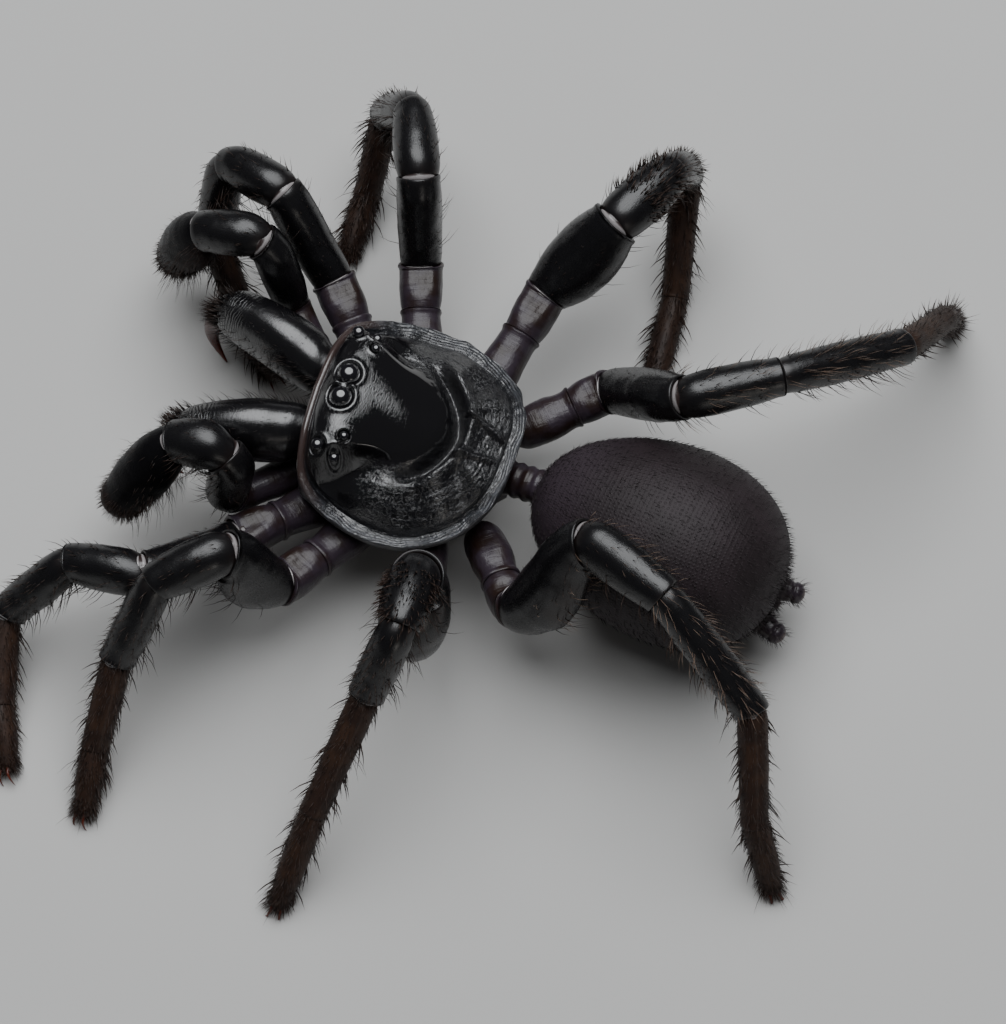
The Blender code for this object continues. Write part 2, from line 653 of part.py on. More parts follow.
def spine(root, direction, length, bend):
    """Closed four-sided spine that starts below the skin and runs to a point, moved by bend."""
    across = direction.orthogonal()
    middle = root + direction * 0.5 * length + bend * 0.3
    rings = [
        disc(root - direction * SPINE_SUNK, direction, 0.5 * SPINE_THICKNESS, 4, across),
        disc(middle, direction, 0.32 * SPINE_THICKNESS, 4, across),
    ]
    return loose("spine", skin("spine", rings, root + direction * length + bend))


def grow_spines(made, kind, rings):
    """Spread a kind's spines over a limb's piece, and leave out those that would reach the floor."""
    number, length, lean, along, around = SPINES[kind]
    draw = random.Random(made.name)
    spines = []
    for i in range(number):
        t = along[0] + (along[1] - along[0]) * (i + 0.5) / number
        turn = around[0] + (around[1] - around[0]) * (i * SPINE_SPREAD % 1.0)
        root, out, ahead = spot(rings, t, turn + draw.uniform(-6.0, 6.0))
        leaning = math.radians(lean)
        direction = out * math.cos(leaning) + ahead * math.sin(leaning)
        size = length * draw.uniform(0.85, 1.1)
        if (root + direction * size).z > FLOOR_CLEAR:
            spines.append(spine(root, direction, size, ahead * 0.15 * size))
    combine(made, spines, "UNION")


def claws(foot, last):
    """Two claws at the tip of a foot, curved down to just above the floor."""
    pair = []
    for side in (1, -1):
        root = last.centre + last.across * CLAW_APART * side + last.up * 0.12
        direction = (last.heading + last.across * 0.12 * side + last.up * 0.1).normalized()
        drop = min(0.3, (root + direction * CLAW_LENGTH).z - 0.5 * FLOOR_CLEAR)
        pair.append(spine(root, direction, CLAW_LENGTH, Vector((0.0, 0.0, -drop))))
    combine(foot, pair, "UNION")


def level_foot(made):
    """Cut the piece flat where it reaches the floor."""
    shell = bmesh.new()
    shell.from_mesh(made.data)
    geometry = shell.verts[:] + shell.edges[:] + shell.faces[:]
    cut = bmesh.ops.bisect_plane(
        shell, geom=geometry, dist=1e-7, plane_co=(0, 0, 0), plane_no=(0, 0, -1), clear_outer=True)
    edges = [item for item in cut["geom_cut"] if isinstance(item, bmesh.types.BMEdge)]
    if edges:
        bmesh.ops.contextual_create(shell, geom=edges)
        bmesh.ops.recalc_face_normals(shell, faces=shell.faces)
    shell.to_mesh(made.data)
    shell.free()


def across_of(joints):
    return (joints[1] - joints[0]).cross(Vector((0.0, 0.0, 1.0))).normalized()


def leg(name, number, side):
    root = (HIP_ROOTS[number][0] * side, HIP_ROOTS[number][1], HIP_ROOT_Z)
    foot_height = FOOT_HEIGHT * 0.5 * SHAPES["tarsus"][-1][1]
    joints = limb_joints(root, LEG_LENGTHS[number], POSE[name], foot_height)
    stations, marks = limb_path(joints)
    across = across_of(joints)
    for index, part in enumerate(("hip", "femur", "patella", "tibia")):
        rings = framed(limb_rings(stations, marks, index, shape_of(part, number), False), across)
        slot = "hip_shell" if part == "hip" else "black_shell"
        mesh = skin(part, outlines(rings, SIDES.get(part, PLAIN_SIDES)))
        made = add_object(f"{name}_{part}", mesh, slot)
        for kind in (part, f"{part}_{number}"):
            if kind in SPINES:
                grow_spines(made, kind, rings)
    rows = limb_rings(stations, marks, 4, "metatarsus", False)
    rows += limb_rings(stations, marks, 5, "tarsus", True)
    rings = framed(rows, across)
    made = add_object(f"{name}_foot", skin("foot", outlines(rings, PLAIN_SIDES)), "foot_shell")
    level_foot(made)
    grow_spines(made, "foot", rings)
    claws(made, rings[-1])


def palp(name, side):
    joints = limb_joints(mirrored(PALP_ROOT, side), PALP_LENGTHS, POSE[name], 0.0)
    stations, marks = limb_path(joints)
    across = across_of(joints)
    for index, part in enumerate(("hip", "femur", "patella", "tip")):
        kind = f"palp_{part}"
        rings = framed(limb_rings(stations, marks, index, kind, part == "tip"), across)
        mesh = skin(part, outlines(rings, SIDES.get(part, PLAIN_SIDES)))
        made = add_object(f"{name}_{part}", mesh, "hip_shell" if part == "hip" else "black_shell")
        if kind in SPINES:
            grow_spines(made, kind, rings)


def centre_on_origin():
    """Move all the pieces so that their common box stands centred on the origin."""
    corners = [made.matrix_world @ v.co for made in bpy.data.objects for v in made.data.vertices]
    low = Vector([min(c[i] for c in corners) for i in range(3)])
    high = Vector([max(c[i] for c in corners) for i in range(3)])
    shift = Vector((-(low.x + high.x) / 2, -(low.y + high.y) / 2, -low.z))
    for made in bpy.data.objects:
        made.data.transform(Matrix.Translation(shift))


def main():
    for old in list(bpy.data.objects):
        bpy.data.objects.remove(old)
    shield = carapace()
    eyes(shield)
    sternum()
    abdomen()
    jaws()
    for name in POSE:
        side = 1 if name.endswith("left") else -1
        if name.startswith("leg"):
            leg(name, int(name.split("_")[1]), side)
        else:
            palp(name, side)
    centre_on_origin()


main()
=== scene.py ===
import math

import bpy
import numpy as np
from mathutils import Matrix, Vector, noise


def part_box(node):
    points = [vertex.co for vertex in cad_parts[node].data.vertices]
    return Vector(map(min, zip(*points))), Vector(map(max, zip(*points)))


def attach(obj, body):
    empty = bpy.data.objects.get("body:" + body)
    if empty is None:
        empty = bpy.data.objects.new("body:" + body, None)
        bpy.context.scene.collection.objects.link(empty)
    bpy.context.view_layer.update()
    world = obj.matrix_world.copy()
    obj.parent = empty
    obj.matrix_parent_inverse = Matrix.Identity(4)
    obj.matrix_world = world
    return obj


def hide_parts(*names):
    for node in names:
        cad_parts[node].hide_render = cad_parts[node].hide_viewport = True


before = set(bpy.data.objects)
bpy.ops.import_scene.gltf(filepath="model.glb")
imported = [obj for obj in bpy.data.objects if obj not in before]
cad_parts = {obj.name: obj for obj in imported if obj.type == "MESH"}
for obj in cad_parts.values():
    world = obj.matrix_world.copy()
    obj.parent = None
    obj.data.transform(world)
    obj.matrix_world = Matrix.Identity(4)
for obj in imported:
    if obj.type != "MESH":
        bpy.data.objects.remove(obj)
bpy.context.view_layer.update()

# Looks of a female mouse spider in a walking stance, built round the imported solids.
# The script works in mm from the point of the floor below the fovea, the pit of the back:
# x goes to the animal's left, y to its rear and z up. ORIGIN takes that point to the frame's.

MM = 0.001
SHIELD_LOW, SHIELD_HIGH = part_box("carapace")
SHIELD_FRONT = -6.2
ORIGIN = np.array(((SHIELD_LOW.x + SHIELD_HIGH.x) / 2, SHIELD_LOW.y - SHIELD_FRONT * MM, 0.0))

# Camera: azimuth and elevation in degrees, distance from its target, and mm of field per pixel
IMAGE_SIZE = (1006, 1024)
AZIMUTH = 108.0
ELEVATION = 67.0
CAMERA_DISTANCE = 240.0
PIXELS_PER_MM = 24.5
FOVEA_PIXEL = (458, 430)
FOVEA_HEIGHT = 7.3

# Carapace: half of its rim from the front round to the rear
RIM = (
    (0.0, -6.2, 7.4), (2.1, -6.1, 7.05), (3.7, -5.65, 6.15), (4.55, -4.3, 5.45), (4.9, -2.3, 4.95),
    (4.6, -0.5, 4.9), (3.5, 1.3, 5.35), (1.9, 2.3, 6.0), (0.0, 2.45, 6.1),
)
RIM_THICKNESS = 0.3
SHIELD_CENTRE = np.array((0.0, -1.9))
SHIELD_FLOOR = 4.65
FRONT_WALL = (-5.9, -4.9)
CROWN = 8.6
CROWN_Y = -4.75
CROWN_FALL_ASIDE = (0.07, 0.16)     # how fast the crown falls to the sides, before and behind FALL_FROM
FALL_FROM = (-4.5, -2.0)
CROWN_SLOPE = 0.4               # the straight fall before and behind the crown, and how round it is
CROWN_ROUND = 0.6
HEAD_WIDE_Y = -2.5              # behind it the head part rounds off, and before it widens to the front
HEAD_HALF_WIDTH = 2.5
HEAD_REAR_LENGTH = 2.35
HEAD_REAR_POWER = 1.75
HEAD_FRONT_WIDER = 1.5
HEAD_FRONT_Y = -5.9
HEAD_FLANK = 0.7                # share of its half width where the head's steep flank starts
FRONT_POWER = 16                # how late the head part turns down to the front rim
THORAX_TOP = 7.15
FLANGE_FROM = 0.9               # share of the way out where the flat rim starts
CREST_FROM = 0.93               # the same at the front, where the rim is a narrow raised crest
CREST_HEIGHT = 0.26
FACING = (-4.2, -5.6)           # the flat rim turns into the crest between these
BRIM_LIFT = (0.03, 0.15)        # how far the flat rim stands up, at its inner and outer edge
RIM_FURROW = (0.016, 0.013)     # where inside the rim its furrow runs, and how wide
GROOVE_AT = 1.04                # in shares of the head's outline
GROOVE_WIDTH = 0.12
GROOVE_DEPTH = 0.95
BROW_CENTRE = (-0.2, -3.25)     # the wrinkled patch behind the eyes
BROW_HALF = (1.25, 0.5)
BROW_WAY = np.array(((0.626, 0.78), (0.78, -0.626)))
EYE_RISE = 0.05                 # the shell swells round each eye, and sinks at the lens's edge
EYE_FURROW = 0.13
RIM_LINES = 250.0               # radians of the fine lines of the flat rim, from the centre out
RIM_LINE_HEIGHT = 0.014
RIM_WAVE_HEIGHT = 0.035
NET_HEIGHT = 0.055
RIDGE_ENDS = ((0.95, 0.1), (0.4, 2.2))
RIDGE_HEIGHT = 0.26
LIP_HEIGHT = 0.3
FURROW_HEIGHT = 0.13
VALLEY_DEPTH = 0.2
UNDER_SHARES = np.array((0.998, 0.9, 0.7, 0.4, 0.1))    # rings of the underside
SHIELD_SIDES = 420
SHIELD_RINGS = 170

# Eyes of one side: centre and radius
EYES = {
    "eye_median": ((0.53, -4.85, 8.52), 0.42),
    "eye_lateral": ((2.64, -5.15, 8.0), 0.26),
    "eye_rear_median": ((2.05, -4.2, 8.24), 0.19),
    "eye_rear_lateral": ((2.78, -4.4, 7.5), 0.22),
}
EYE_FLATNESS = 0.7

# The lobe below the mouth
LOBE_ROOT = (0.0, -4.95, 3.0)
LOBE_LENGTH = 1.15
LOBE_RISE = 0.12
LOBE_HALF = (0.62, 0.42)

# Stalk and abdomen
WAIST_FRONT = np.array((0.0, 1.9, 4.0))
WAIST_RADIUS = 0.75
ABDOMEN_CENTRE = np.array((0.9, 8.95, 4.45))
ABDOMEN_YAW = 7.0
ABDOMEN_HALF = np.array((4.1, 5.45, 3.85))
ABDOMEN_FULLER_REAR = 0.12
ABDOMEN_GIRTH_POWER = 0.9
ABDOMEN_STEPS = 120
ABDOMEN_SIDES = 192
ABDOMEN_HAIRS = 5200
ABDOMEN_HAIR_LENGTHS = (0.14, 0.32)
ABDOMEN_HAIR_WIDTH = 0.022
PIT_ROW = 0.19                  # mm between the cross rows of pits on the abdomen
PIT_COLUMNS = 150.0             # phase round the abdomen for a radian
LUNG_COVERS = ((-1.7, -3.4), (-1.7, -1.7), (1.7, -3.4), (1.7, -1.7))
LUNG_HALF = (1.1, 0.7)
LUNG_SUNK = 0.1
# Spinnerets: place aside, before the abdomen's rear end and above its centre, heading aside and
# down, length and radius
SPINNERETS = {
    "long": (0.7, 1.1, -1.7, 0.2, -0.25, 1.9, 0.42),
    "short": (0.28, 1.1, -2.0, 0.1, -0.5, 1.15, 0.2),
}

# Jaws and fangs
JAW_BASE = (1.5, -6.35, 5.85)
JAW_TIPS = {"left": (2.9, -11.55, 5.0), "right": (-3.3, -11.5, 5.0)}
JAW_WIDTHS = (2.35, 2.5, 2.4, 2.2, 1.75)
JAW_DEPTHS = (2.7, 3.2, 3.1, 2.7, 2.1)
JAW_ARCH = 0.35
JAW_ROUND_FROM = 0.8            # share of its length where the jaw's end starts to round off
JAW_ROUND_LENGTH = 0.228
JAW_NECK = 0.22
JAW_FURROWS = 42.0              # phase of the cross furrows for a mm
FANG_LENGTH = 3.3
FANG_RADIUS = 0.5
FANG_ROOT = (0.1, -0.1, -1.45)  # from the middle of the jaw's tip
FANG_CURVE = (0.5, 0.3, 0.55)   # how far it bends inwards, leans and bows forwards
COLLAR_RUN = (0.0, 0.35, 0.9)
COLLAR_SIZES = (1.3, 1.4, 1.3, 1.22, 1.04, 0.9)

# Limbs: lengths of hip, femur, patella, tibia, metatarsus and tarsus
LEG_LENGTHS = {
    1: (5.75, 4.6, 3.2, 4.1, 3.8, 2.4),
    2: (6.0, 4.5, 3.3, 4.2, 4.0, 2.5),
    3: (6.1, 4.7, 3.4, 3.9, 5.5, 4.2),
    4: (4.7, 5.9, 4.1, 6.0, 5.0, 3.2),
}
HIP_ROOTS = {1: (1.95, -3.85), 2: (2.5, -2.4), 3: (2.6, -0.3), 4: (2.1, 1.5)}
HIP_ROOT_Z = 3.05
PALP_LENGTHS = (5.1, 4.2, 2.9, 4.0)
PALP_ROOT = (1.0, -5.3, 3.05)

# Yaw and pitch of each length in degrees; a last length without pitch comes down to the floor
POSE = {
    "leg_1_left": ((-42, 10), (-40, 21), (-88, -11), (-50, -42), (15, -21), (25, None)),
    "leg_2_left": ((-29, 11), (-72, 66), (-51, -14), (-21, -50), (-1, -41), (6, None)),
    "leg_3_left": ((10, 11), (-174, 65), (4, 20), (-19, -54), (-12, -37), (-9, None)),
    "leg_4_left": ((38, 12), (133, 58), (67, 5), (61, -29), (21, -46), (41, None)),
    "leg_1_right": ((-139, 12), (-123, 46), (-110, -15), (-3, -64), (39, -29), (48, None)),
    "leg_2_right": ((-161, 11), (-161, 62), (-157, -8), (-128, -60), (-2, -50), (0, None)),
    "leg_3_right": ((166, 11), (138, 46), (154, -4), (175, -61), (12, -36), (4, None)),
    "leg_4_right": ((130, 12), (67, 51), (121, 2), (131, -19), (164, -46), (174, None)),
    "palp_left": ((-42, 11), (145, 77), (-89, -16), (-45, -52)),
    "palp_right": ((-136, 13), (-125, 66), (-87, -18), (-102, -70)),
}

# Width and depth along each length, from its near end to its far end
SHAPES = {
    "hip": ((1.3, 1.6), (1.75, 1.8), (1.85, 1.8), (1.6, 1.65), (1.85, 1.85), (1.8, 1.85)),
    "femur": ((1.75, 2.0), (1.85, 2.6), (1.9, 2.65), (1.9, 2.4), (1.8, 2.05)),
    "femur_3": ((2.1, 2.1), (2.75, 2.8), (2.95, 2.9), (2.75, 2.6), (2.2, 2.2)),
    "femur_4": ((1.9, 2.1), (2.15, 2.8), (2.2, 2.8), (2.1, 2.4), (1.85, 2.0)),
    "patella": ((1.8, 1.95), (1.9, 2.1), (1.9, 2.1), (1.8, 1.95), (1.6, 1.75)),
    "patella_3": ((2.0, 2.0), (2.1, 2.15), (2.15, 2.15), (2.05, 2.0), (1.75, 1.8)),
    "tibia": ((1.55, 1.65), (1.65, 1.75), (1.65, 1.7), (1.5, 1.55)),
    "metatarsus": ((1.25, 1.3), (1.25, 1.3), (1.2, 1.25), (1.15, 1.2)),
    "tarsus": ((1.1, 1.15), (1.15, 1.2), (1.1, 1.1), (0.85, 0.85)),
    "palp_hip": ((1.2, 1.4), (1.5, 1.5), (1.5, 1.5), (1.35, 1.4), (1.45, 1.5)),
    "palp_femur": ((1.45, 1.55), (1.65, 1.95), (1.7, 1.95), (1.65, 1.75)),
    "palp_patella": ((1.65, 1.7), (1.9, 2.0), (1.9, 2.0), (1.7, 1.75)),
    "palp_tip": ((1.6, 1.7), (2.05, 2.2), (2.3, 2.35), (2.2, 2.2), (1.9, 1.9)),
}
# How far the middle of each shell sags below the limb's line
BELLIES = {
    "femur": (0.1, 0.35, 0.35, 0.2, 0.0),
    "femur_3": (0.1, 0.35, 0.4, 0.25, 0.0),
    "femur_4": (0.1, 0.4, 0.35, 0.1, 0.0),
}
LEG_PARTS = ("hip", "femur", "patella", "tibia", "metatarsus", "tarsus")
PALP_PARTS = ("hip", "femur", "patella", "tip")
TROCHANTER_FROM = 0.66          # share of the hip's length where its outer ring of shell starts
BEND_RADIUS = 1.15
FOOT_HEIGHT = 0.78
LINE_STEP = 0.08
BEND_STEP = 5.0                 # degrees
LIMB_SIDES = 48
# How each shell starts: length over which it narrows towards the one before it, how narrow it
# gets, and how far its upper edge stands back from the joint
STARTS = {
    "trochanter": (0.35, 0.84, 0.06), "femur": (0.4, 0.80, 0.04), "patella": (0.5, 0.74, 0.27),
    "tibia": (0.9, 0.76, 0.10), "metatarsus": (0.5, 0.76, 0.16), "tarsus": (0.3, 0.86, 0.03),
    "tip": (0.6, 0.70, 0.16),
}
# How far a shell's upper far edge stands back from its joint
FAR_SET_BACK = {"femur": 0.18, "patella": 0.05, "tibia": 0.08}
SET_BACK_REACH = 0.9
ROOT_ROUND = 0.7                # length over which a limb's root rounds off
FOLD_APART = 0.75               # a fold runs along the upper side between two ridges, in radians
FOLD_WIDTH = 0.42
FOLDS = {"coxa": 0.05, "trochanter": 0.15}
LIP_TUCK = 0.22                 # how far the shell's far rim turns in
LIP_SIZE = 0.84
SLEEVE_SIZE = 0.8               # skin between two shells, as a share of the shell's size
SLEEVE_REACH = (-0.35, 0.7)
CLAW_FLOOR = 0.05
CLAW_LENGTH = 0.85
CLAW_RADIUS = 0.085
FLOOR_GAP = 0.004

HAIR_PATCH = 0.003              # size of a hair's patch on the map of its coat
HAIR_FLOOR = 0.05               # hairs end at least this high above the floor

# Bristles, in rows: the part, how many, the stretch of its length, degrees round it (90 is above
# and 270 below), lengths, thickness and degrees of lean; curl and spread follow where they differ
THIGH_BRISTLES = (
    ("femur", 26, (0.1, 0.9), (200, 340), (0.7, 1.3), 0.035, 25),
    ("femur", 40, (0.1, 0.95), (20, 160), (0.15, 0.3), 0.025, 50),
)
KNEE_SPINES = (
    ("patella", 210, (0.3, 0.97), (5, 175), (0.3, 0.5), 0.062, 36, 0.18, 0.22),
    ("tibia", 40, (0.2, 0.9), (20, 160), (0.25, 0.45), 0.045, 40),
)
SHIN_BRISTLES = (
    ("patella", 34, (0.15, 0.95), (10, 170), (0.2, 0.45), 0.035, 45),
    ("patella", 30, (0.15, 0.95), (190, 350), (0.6, 1.3), 0.04, 35),
    ("tibia", 60, (0.08, 0.95), (10, 170), (0.25, 0.55), 0.035, 42),
    ("tibia", 150, (0.35, 0.98), (0, 360), (0.15, 0.35), 0.024, 50),
    ("tibia", 60, (0.08, 0.95), (185, 355), (0.6, 1.3), 0.045, 38),
    ("metatarsus", 420, (0.04, 0.98), (0, 360), (0.18, 0.42), 0.028, 48),
    ("metatarsus", 34, (0.08, 0.95), (150, 390), (0.6, 1.05), 0.075, 50, 0.2),
    ("metatarsus", 24, (0.08, 0.95), (20, 160), (0.5, 1.1), 0.03, 30),
    ("tarsus", 520, (0.04, 0.98), (0, 360), (0.18, 0.42), 0.028, 48),
    ("tarsus", 34, (0.08, 0.95), (150, 390), (0.6, 1.05), 0.075, 50, 0.2),
    ("tarsus", 24, (0.08, 0.95), (20, 160), (0.5, 1.1), 0.03, 30),
    ("tarsus", 260, (0.75, 1.0), (0, 360), (0.25, 0.5), 0.03, 40),
)
PALE_BRISTLES = (
    ("femur", 26, (0.25, 0.98), (185, 355), (0.7, 1.2), 0.028, 35),
    ("patella", 34, (0.05, 0.95), (20, 160), (0.45, 0.8), 0.026, 35),
    ("tibia", 80, (0.02, 0.95), (20, 160), (0.45, 0.85), 0.026, 38),
    ("tibia", 50, (0.02, 0.95), (160, 380), (0.6, 1.0), 0.026, 38),
)
PALP_BRISTLES = (
    ("femur", 60, (0.1, 0.95), (190, 350), (0.5, 1.1), 0.032, 20),
    ("patella", 24, (0.15, 0.95), (10, 170), (0.15, 0.35), 0.03, 45),
    ("patella", 40, (0.1, 0.95), (190, 350), (0.5, 1.2), 0.032, 30),
    ("tip", 60, (0.1, 0.9), (10, 170), (0.2, 0.45), 0.02, 48),
    ("tip", 170, (0.08, 0.95), (185, 355), (0.5, 1.4), 0.022, 28, 0.35),
    ("tip", 620, (0.5, 1.0), (150, 390), (0.2, 0.42), 0.022, 48),
    ("tip", 420, (0.75, 1.0), (0, 360), (0.15, 0.35), 0.022, 48),
    ("tip", 22, (0.4, 0.98), (170, 370), (0.4, 0.7), 0.07, 40),
)
# The same for the left jaw, without the part; the right jaw mirrors them
JAW_BRISTLES = (
    (26, (0.86, 0.97), (0, 100), (0.35, 0.6), 0.11, 45, 0.1, 0.2),
    (90, (0.82, 0.99), (-60, 120), (0.3, 0.6), 0.035, 50),
    (60, (0.25, 0.9), (-40, 30), (0.3, 0.7), 0.03, 40),
    (160, (0.3, 0.95), (-100, -40), (0.4, 0.9), 0.03, 30),
    (30, (0.1, 0.8), (40, 140), (0.12, 0.2), 0.025, 45),
    (90, (0.04, 0.4), (-70, 50), (0.3, 0.7), 0.028, 30),
    (220, (0.93, 1.0), (-120, 60), (0.35, 0.75), 0.026, 35),
)
LOBE_BRISTLES = (
    ("lobe", 60, (0.5, 0.97), (200, 340), (0.08, 0.12), 0.07, 10),
    ("lobe", 220, (0.35, 1.0), (0, 360), (0.3, 0.6), 0.026, 40),
)
SPINNERET_HAIRS = (("spinneret", 120, (0.35, 0.98), (0, 360), (0.2, 0.4), 0.025, 45),)

# Lights, in mm from the point below the fovea: place, diameter, power in watts and tint
LIGHTS = {
    "overhead": ((-75.0, -20.0, 250.0), 290.0, 1.15, (0.96, 0.98, 1.0)),
    "rear_fill": ((230.0, 190.0, 60.0), 90.0, 0.05, (1.0, 0.95, 0.88)),
}
LIGHTS_AIM = (0.0, 0.0, 5.0)
ROOM_COLOUR = (0.86, 0.88, 0.92, 1.0)
ROOM_STRENGTH = 0.07
FLOOR_HALF = 3.0                # metres


def unit(vectors):
    vectors = np.asarray(vectors, float)
    return vectors / np.linalg.norm(vectors, axis=-1, keepdims=True)


def blend(stops, t):
    """Values at t, from 0 to 1, of evenly spaced stops joined by a smooth curve."""
    stops = np.asarray(stops, float)
    place = np.clip(np.asarray(t, float), 0.0, 1.0) * (len(stops) - 1)
    i = np.minimum(place.astype(int), len(stops) - 2)
    u = place - i
    if stops.ndim > 1:
        u = u[..., None]
    a, b, c, d = stops[np.maximum(i - 1, 0)], stops[i], stops[i + 1], stops[np.minimum(i + 2, len(stops) - 1)]
    return b + 0.5 * u * (c - a + u * (2 * a - 5 * b + 4 * c - d + u * (3 * (b - c) + d - a)))


def step_between(low, high, value):
    t = np.clip((value - low) / (high - low), 0.0, 1.0)
    return t * t * (3.0 - 2.0 * t)


def hump(value, centre, width):
    return np.exp(-((value - centre) / width) ** 2)


def heading_of(yaw, pitch):
    yaw, pitch = math.radians(yaw), math.radians(pitch)
    return np.array((math.cos(yaw) * math.cos(pitch), math.sin(yaw) * math.cos(pitch), math.sin(pitch)))


def turned(vector, axis, angle):
    return np.array(Matrix.Rotation(angle, 3, Vector(axis)) @ Vector(vector))


# Materials


class Value:
    """A socket of a finish; arithmetic on it adds the nodes that work it out."""

    def __init__(self, finish, socket):
        self.finish = finish
        self.socket = socket

    def math(self, operation, *others):
        sockets = {i: value for i, value in enumerate((self, *others))}
        return self.finish.node("ShaderNodeMath", {"operation": operation}, sockets)

    def __add__(self, other):
        return self.math("ADD", other)

    __radd__ = __add__

    def __mul__(self, other):
        return self.math("MULTIPLY", other)

    __rmul__ = __mul__

    def __sub__(self, other):
        return self.math("SUBTRACT", other)

    def __rsub__(self, other):
        return self.finish.node("ShaderNodeMath", {"operation": "SUBTRACT"}, {0: other, 1: self})

    def between(self, low, high):
        """Smooth step from 0 to 1 as the value goes from low to high."""
        settings = {"interpolation_type": "SMOOTHSTEP"}
        return self.finish.node("ShaderNodeMapRange", settings, {"Value": self, "From Min": low, "From Max": high})


class Finish:
    """A material that is built from expressions on its own values."""

    def __init__(self, name, **constants):
        self.material = bpy.data.materials.new(name)
        self.material.use_nodes = True
        self.tree = self.material.node_tree
        self.shader = self.tree.nodes["Principled BSDF"]
        for socket, value in constants.items():
            self.set(socket.replace("_", " ").title().replace("Ior", "IOR"), value)

    def feed(self, socket, value):
        if isinstance(value, Value):
            self.tree.links.new(value.socket, socket)
        else:
            socket.default_value = value

    def set(self, socket, value):
        self.feed(self.shader.inputs[socket], value)

    def node(self, kind, settings, sockets, output=0):
        made = self.tree.nodes.new(kind)
        for name, value in settings.items():
            setattr(made, name, value)
        for name, value in sockets.items():
            self.feed(made.inputs[name], value)
        return Value(self, made.outputs[output])

    def place(self):
        """Place on the model in mm."""
        here = self.node("ShaderNodeTexCoord", {}, {}, "Object")
        return self.scaled(here, (1 / MM, 1 / MM, 1 / MM))

    def kept(self, name, output="Fac"):
        """A value that is kept at the piece's points."""
        return self.node("ShaderNodeAttribute", {"attribute_name": name}, {}, output)

    def scaled(self, vector, scale):
        return self.node("ShaderNodeVectorMath", {"operation": "MULTIPLY"}, {0: vector, 1: scale})

    def moved(self, vector, amount):
        """The vector with the same amount added to each of its parts."""
        joined = self.node("ShaderNodeCombineXYZ", {}, {"X": amount, "Y": amount, "Z": amount})
        return self.node("ShaderNodeVectorMath", {"operation": "ADD"}, {0: vector, 1: joined})

    def axis(self, vector, name):
        return self.node("ShaderNodeSeparateXYZ", {}, {0: vector}, name)

    def noise(self, vector, scale, detail=3.0, roughness=0.55, distortion=0.0):
        sockets = {"Vector": vector, "Scale": scale, "Detail": detail, "Roughness": roughness}
        return self.node("ShaderNodeTexNoise", {}, {**sockets, "Distortion": distortion})

    def cells(self, vector, scale, feature="F1", output="Distance"):
        return self.node("ShaderNodeTexVoronoi", {"feature": feature}, {"Vector": vector, "Scale": scale}, output)

    def mix(self, factor, first, second):
        sockets = {0: factor, 6: first, 7: second}
        return self.node("ShaderNodeMix", {"data_type": "RGBA"}, sockets, 2)

    def relief(self, height, depth):
        """Relief of the surface: height from 0 to 1 for a real depth in mm."""
        sockets = {"Strength": 1.0, "Distance": depth * MM, "Height": height}
        self.set("Normal", self.node("ShaderNodeBump", {}, sockets))
        return self.material


def colour(red, green, blue):
    return (red, green, blue, 1.0)


BLACK = colour(0.0045, 0.0042, 0.005)
BROWN_BLACK = colour(0.016, 0.008, 0.006)
PURPLE_BLACK = colour(0.030, 0.022, 0.030)
RED_BROWN = colour(0.11, 0.022, 0.011)
# Pale of the joints' lips: partly the skin's own colour, partly painted highlight.
PALE_SKIN_AND_HIGHLIGHT = colour(0.28, 0.26, 0.26)


def limb_shell():
    """Hard black shell of the limbs: glossy, finely grained, browner towards its rims and below."""
    finish = Finish("limb_shell", specular_ior_level=0.52)
    local = finish.kept("local", "Vector")
    start, left = finish.axis(local, "X"), finish.kept("left_over")
    top = finish.kept("top")
    grain = finish.noise(finish.scaled(local, (7.0, 16.0, 16.0)), 1.0, 5.0, 0.6)
    patches = finish.noise(local, 0.8, 3.0)
    rims = (1.0 - start.between(0.1, 0.7)) * 0.5 + (1.0 - left.between(0.05, 0.5)) * 0.6
    below = 1.0 - top.between(-0.9, 0.1)
    brown = (rims + below * 0.6) * patches.between(0.3, 0.7)
    finish.set("Base Color", finish.mix(brown.between(0.0, 1.0), BLACK, BROWN_BLACK))
    finish.set("Roughness", 0.18 + grain * 0.14 + rims * 0.10 + patches * 0.06)
    hair_pits = finish.cells(local, 3.4).between(0.0, 0.14)
    lines = finish.noise(finish.scaled(local, (11.0, 1.2, 1.2)), 1.0, 2.0)
    height = grain * 0.5 + hair_pits * 0.35 + lines * (1.0 - left.between(0.0, 1.2)) * 0.5 + patches * 0.6
    return finish.relief(height, 0.015)


def hip_shell():
    """Satin purple-black shell of the hips, with pale worn rims."""
    finish = Finish("hip_shell", specular_ior_level=0.34)
    local = finish.kept("local", "Vector")
    start, left = finish.axis(local, "X"), finish.kept("left_over")
    grain = finish.noise(finish.scaled(local, (5.0, 9.0, 9.0)), 1.0, 5.0, 0.65)
    patches = finish.noise(local, 0.9, 3.0)
    rims = (1.0 - start.between(0.0, 0.35)) * 0.7 + (1.0 - left.between(0.0, 0.3))
    dark = finish.mix(patches.between(0.35, 0.65), BROWN_BLACK, PURPLE_BLACK)
    folds = finish.noise(finish.scaled(local, (1.2, 5.0, 5.0)), 1.0, 3.0, 0.5, 0.8)
    finish.set("Base Color", finish.mix((rims * grain * 1.5).between(0.2, 1.0), dark, colour(0.075, 0.034, 0.027)))
    finish.set("Roughness", 0.26 + grain * 0.14)
    finish.set("Coat Weight", 0.03 + patches * 0.03)
    rings = finish.noise(finish.scaled(local, (7.0, 1.0, 1.0)), 1.0, 3.0, 0.6, 0.5)
    return finish.relief(grain * 0.3 + patches * 0.5 + folds * 0.8 + rings * 0.8, 0.026)


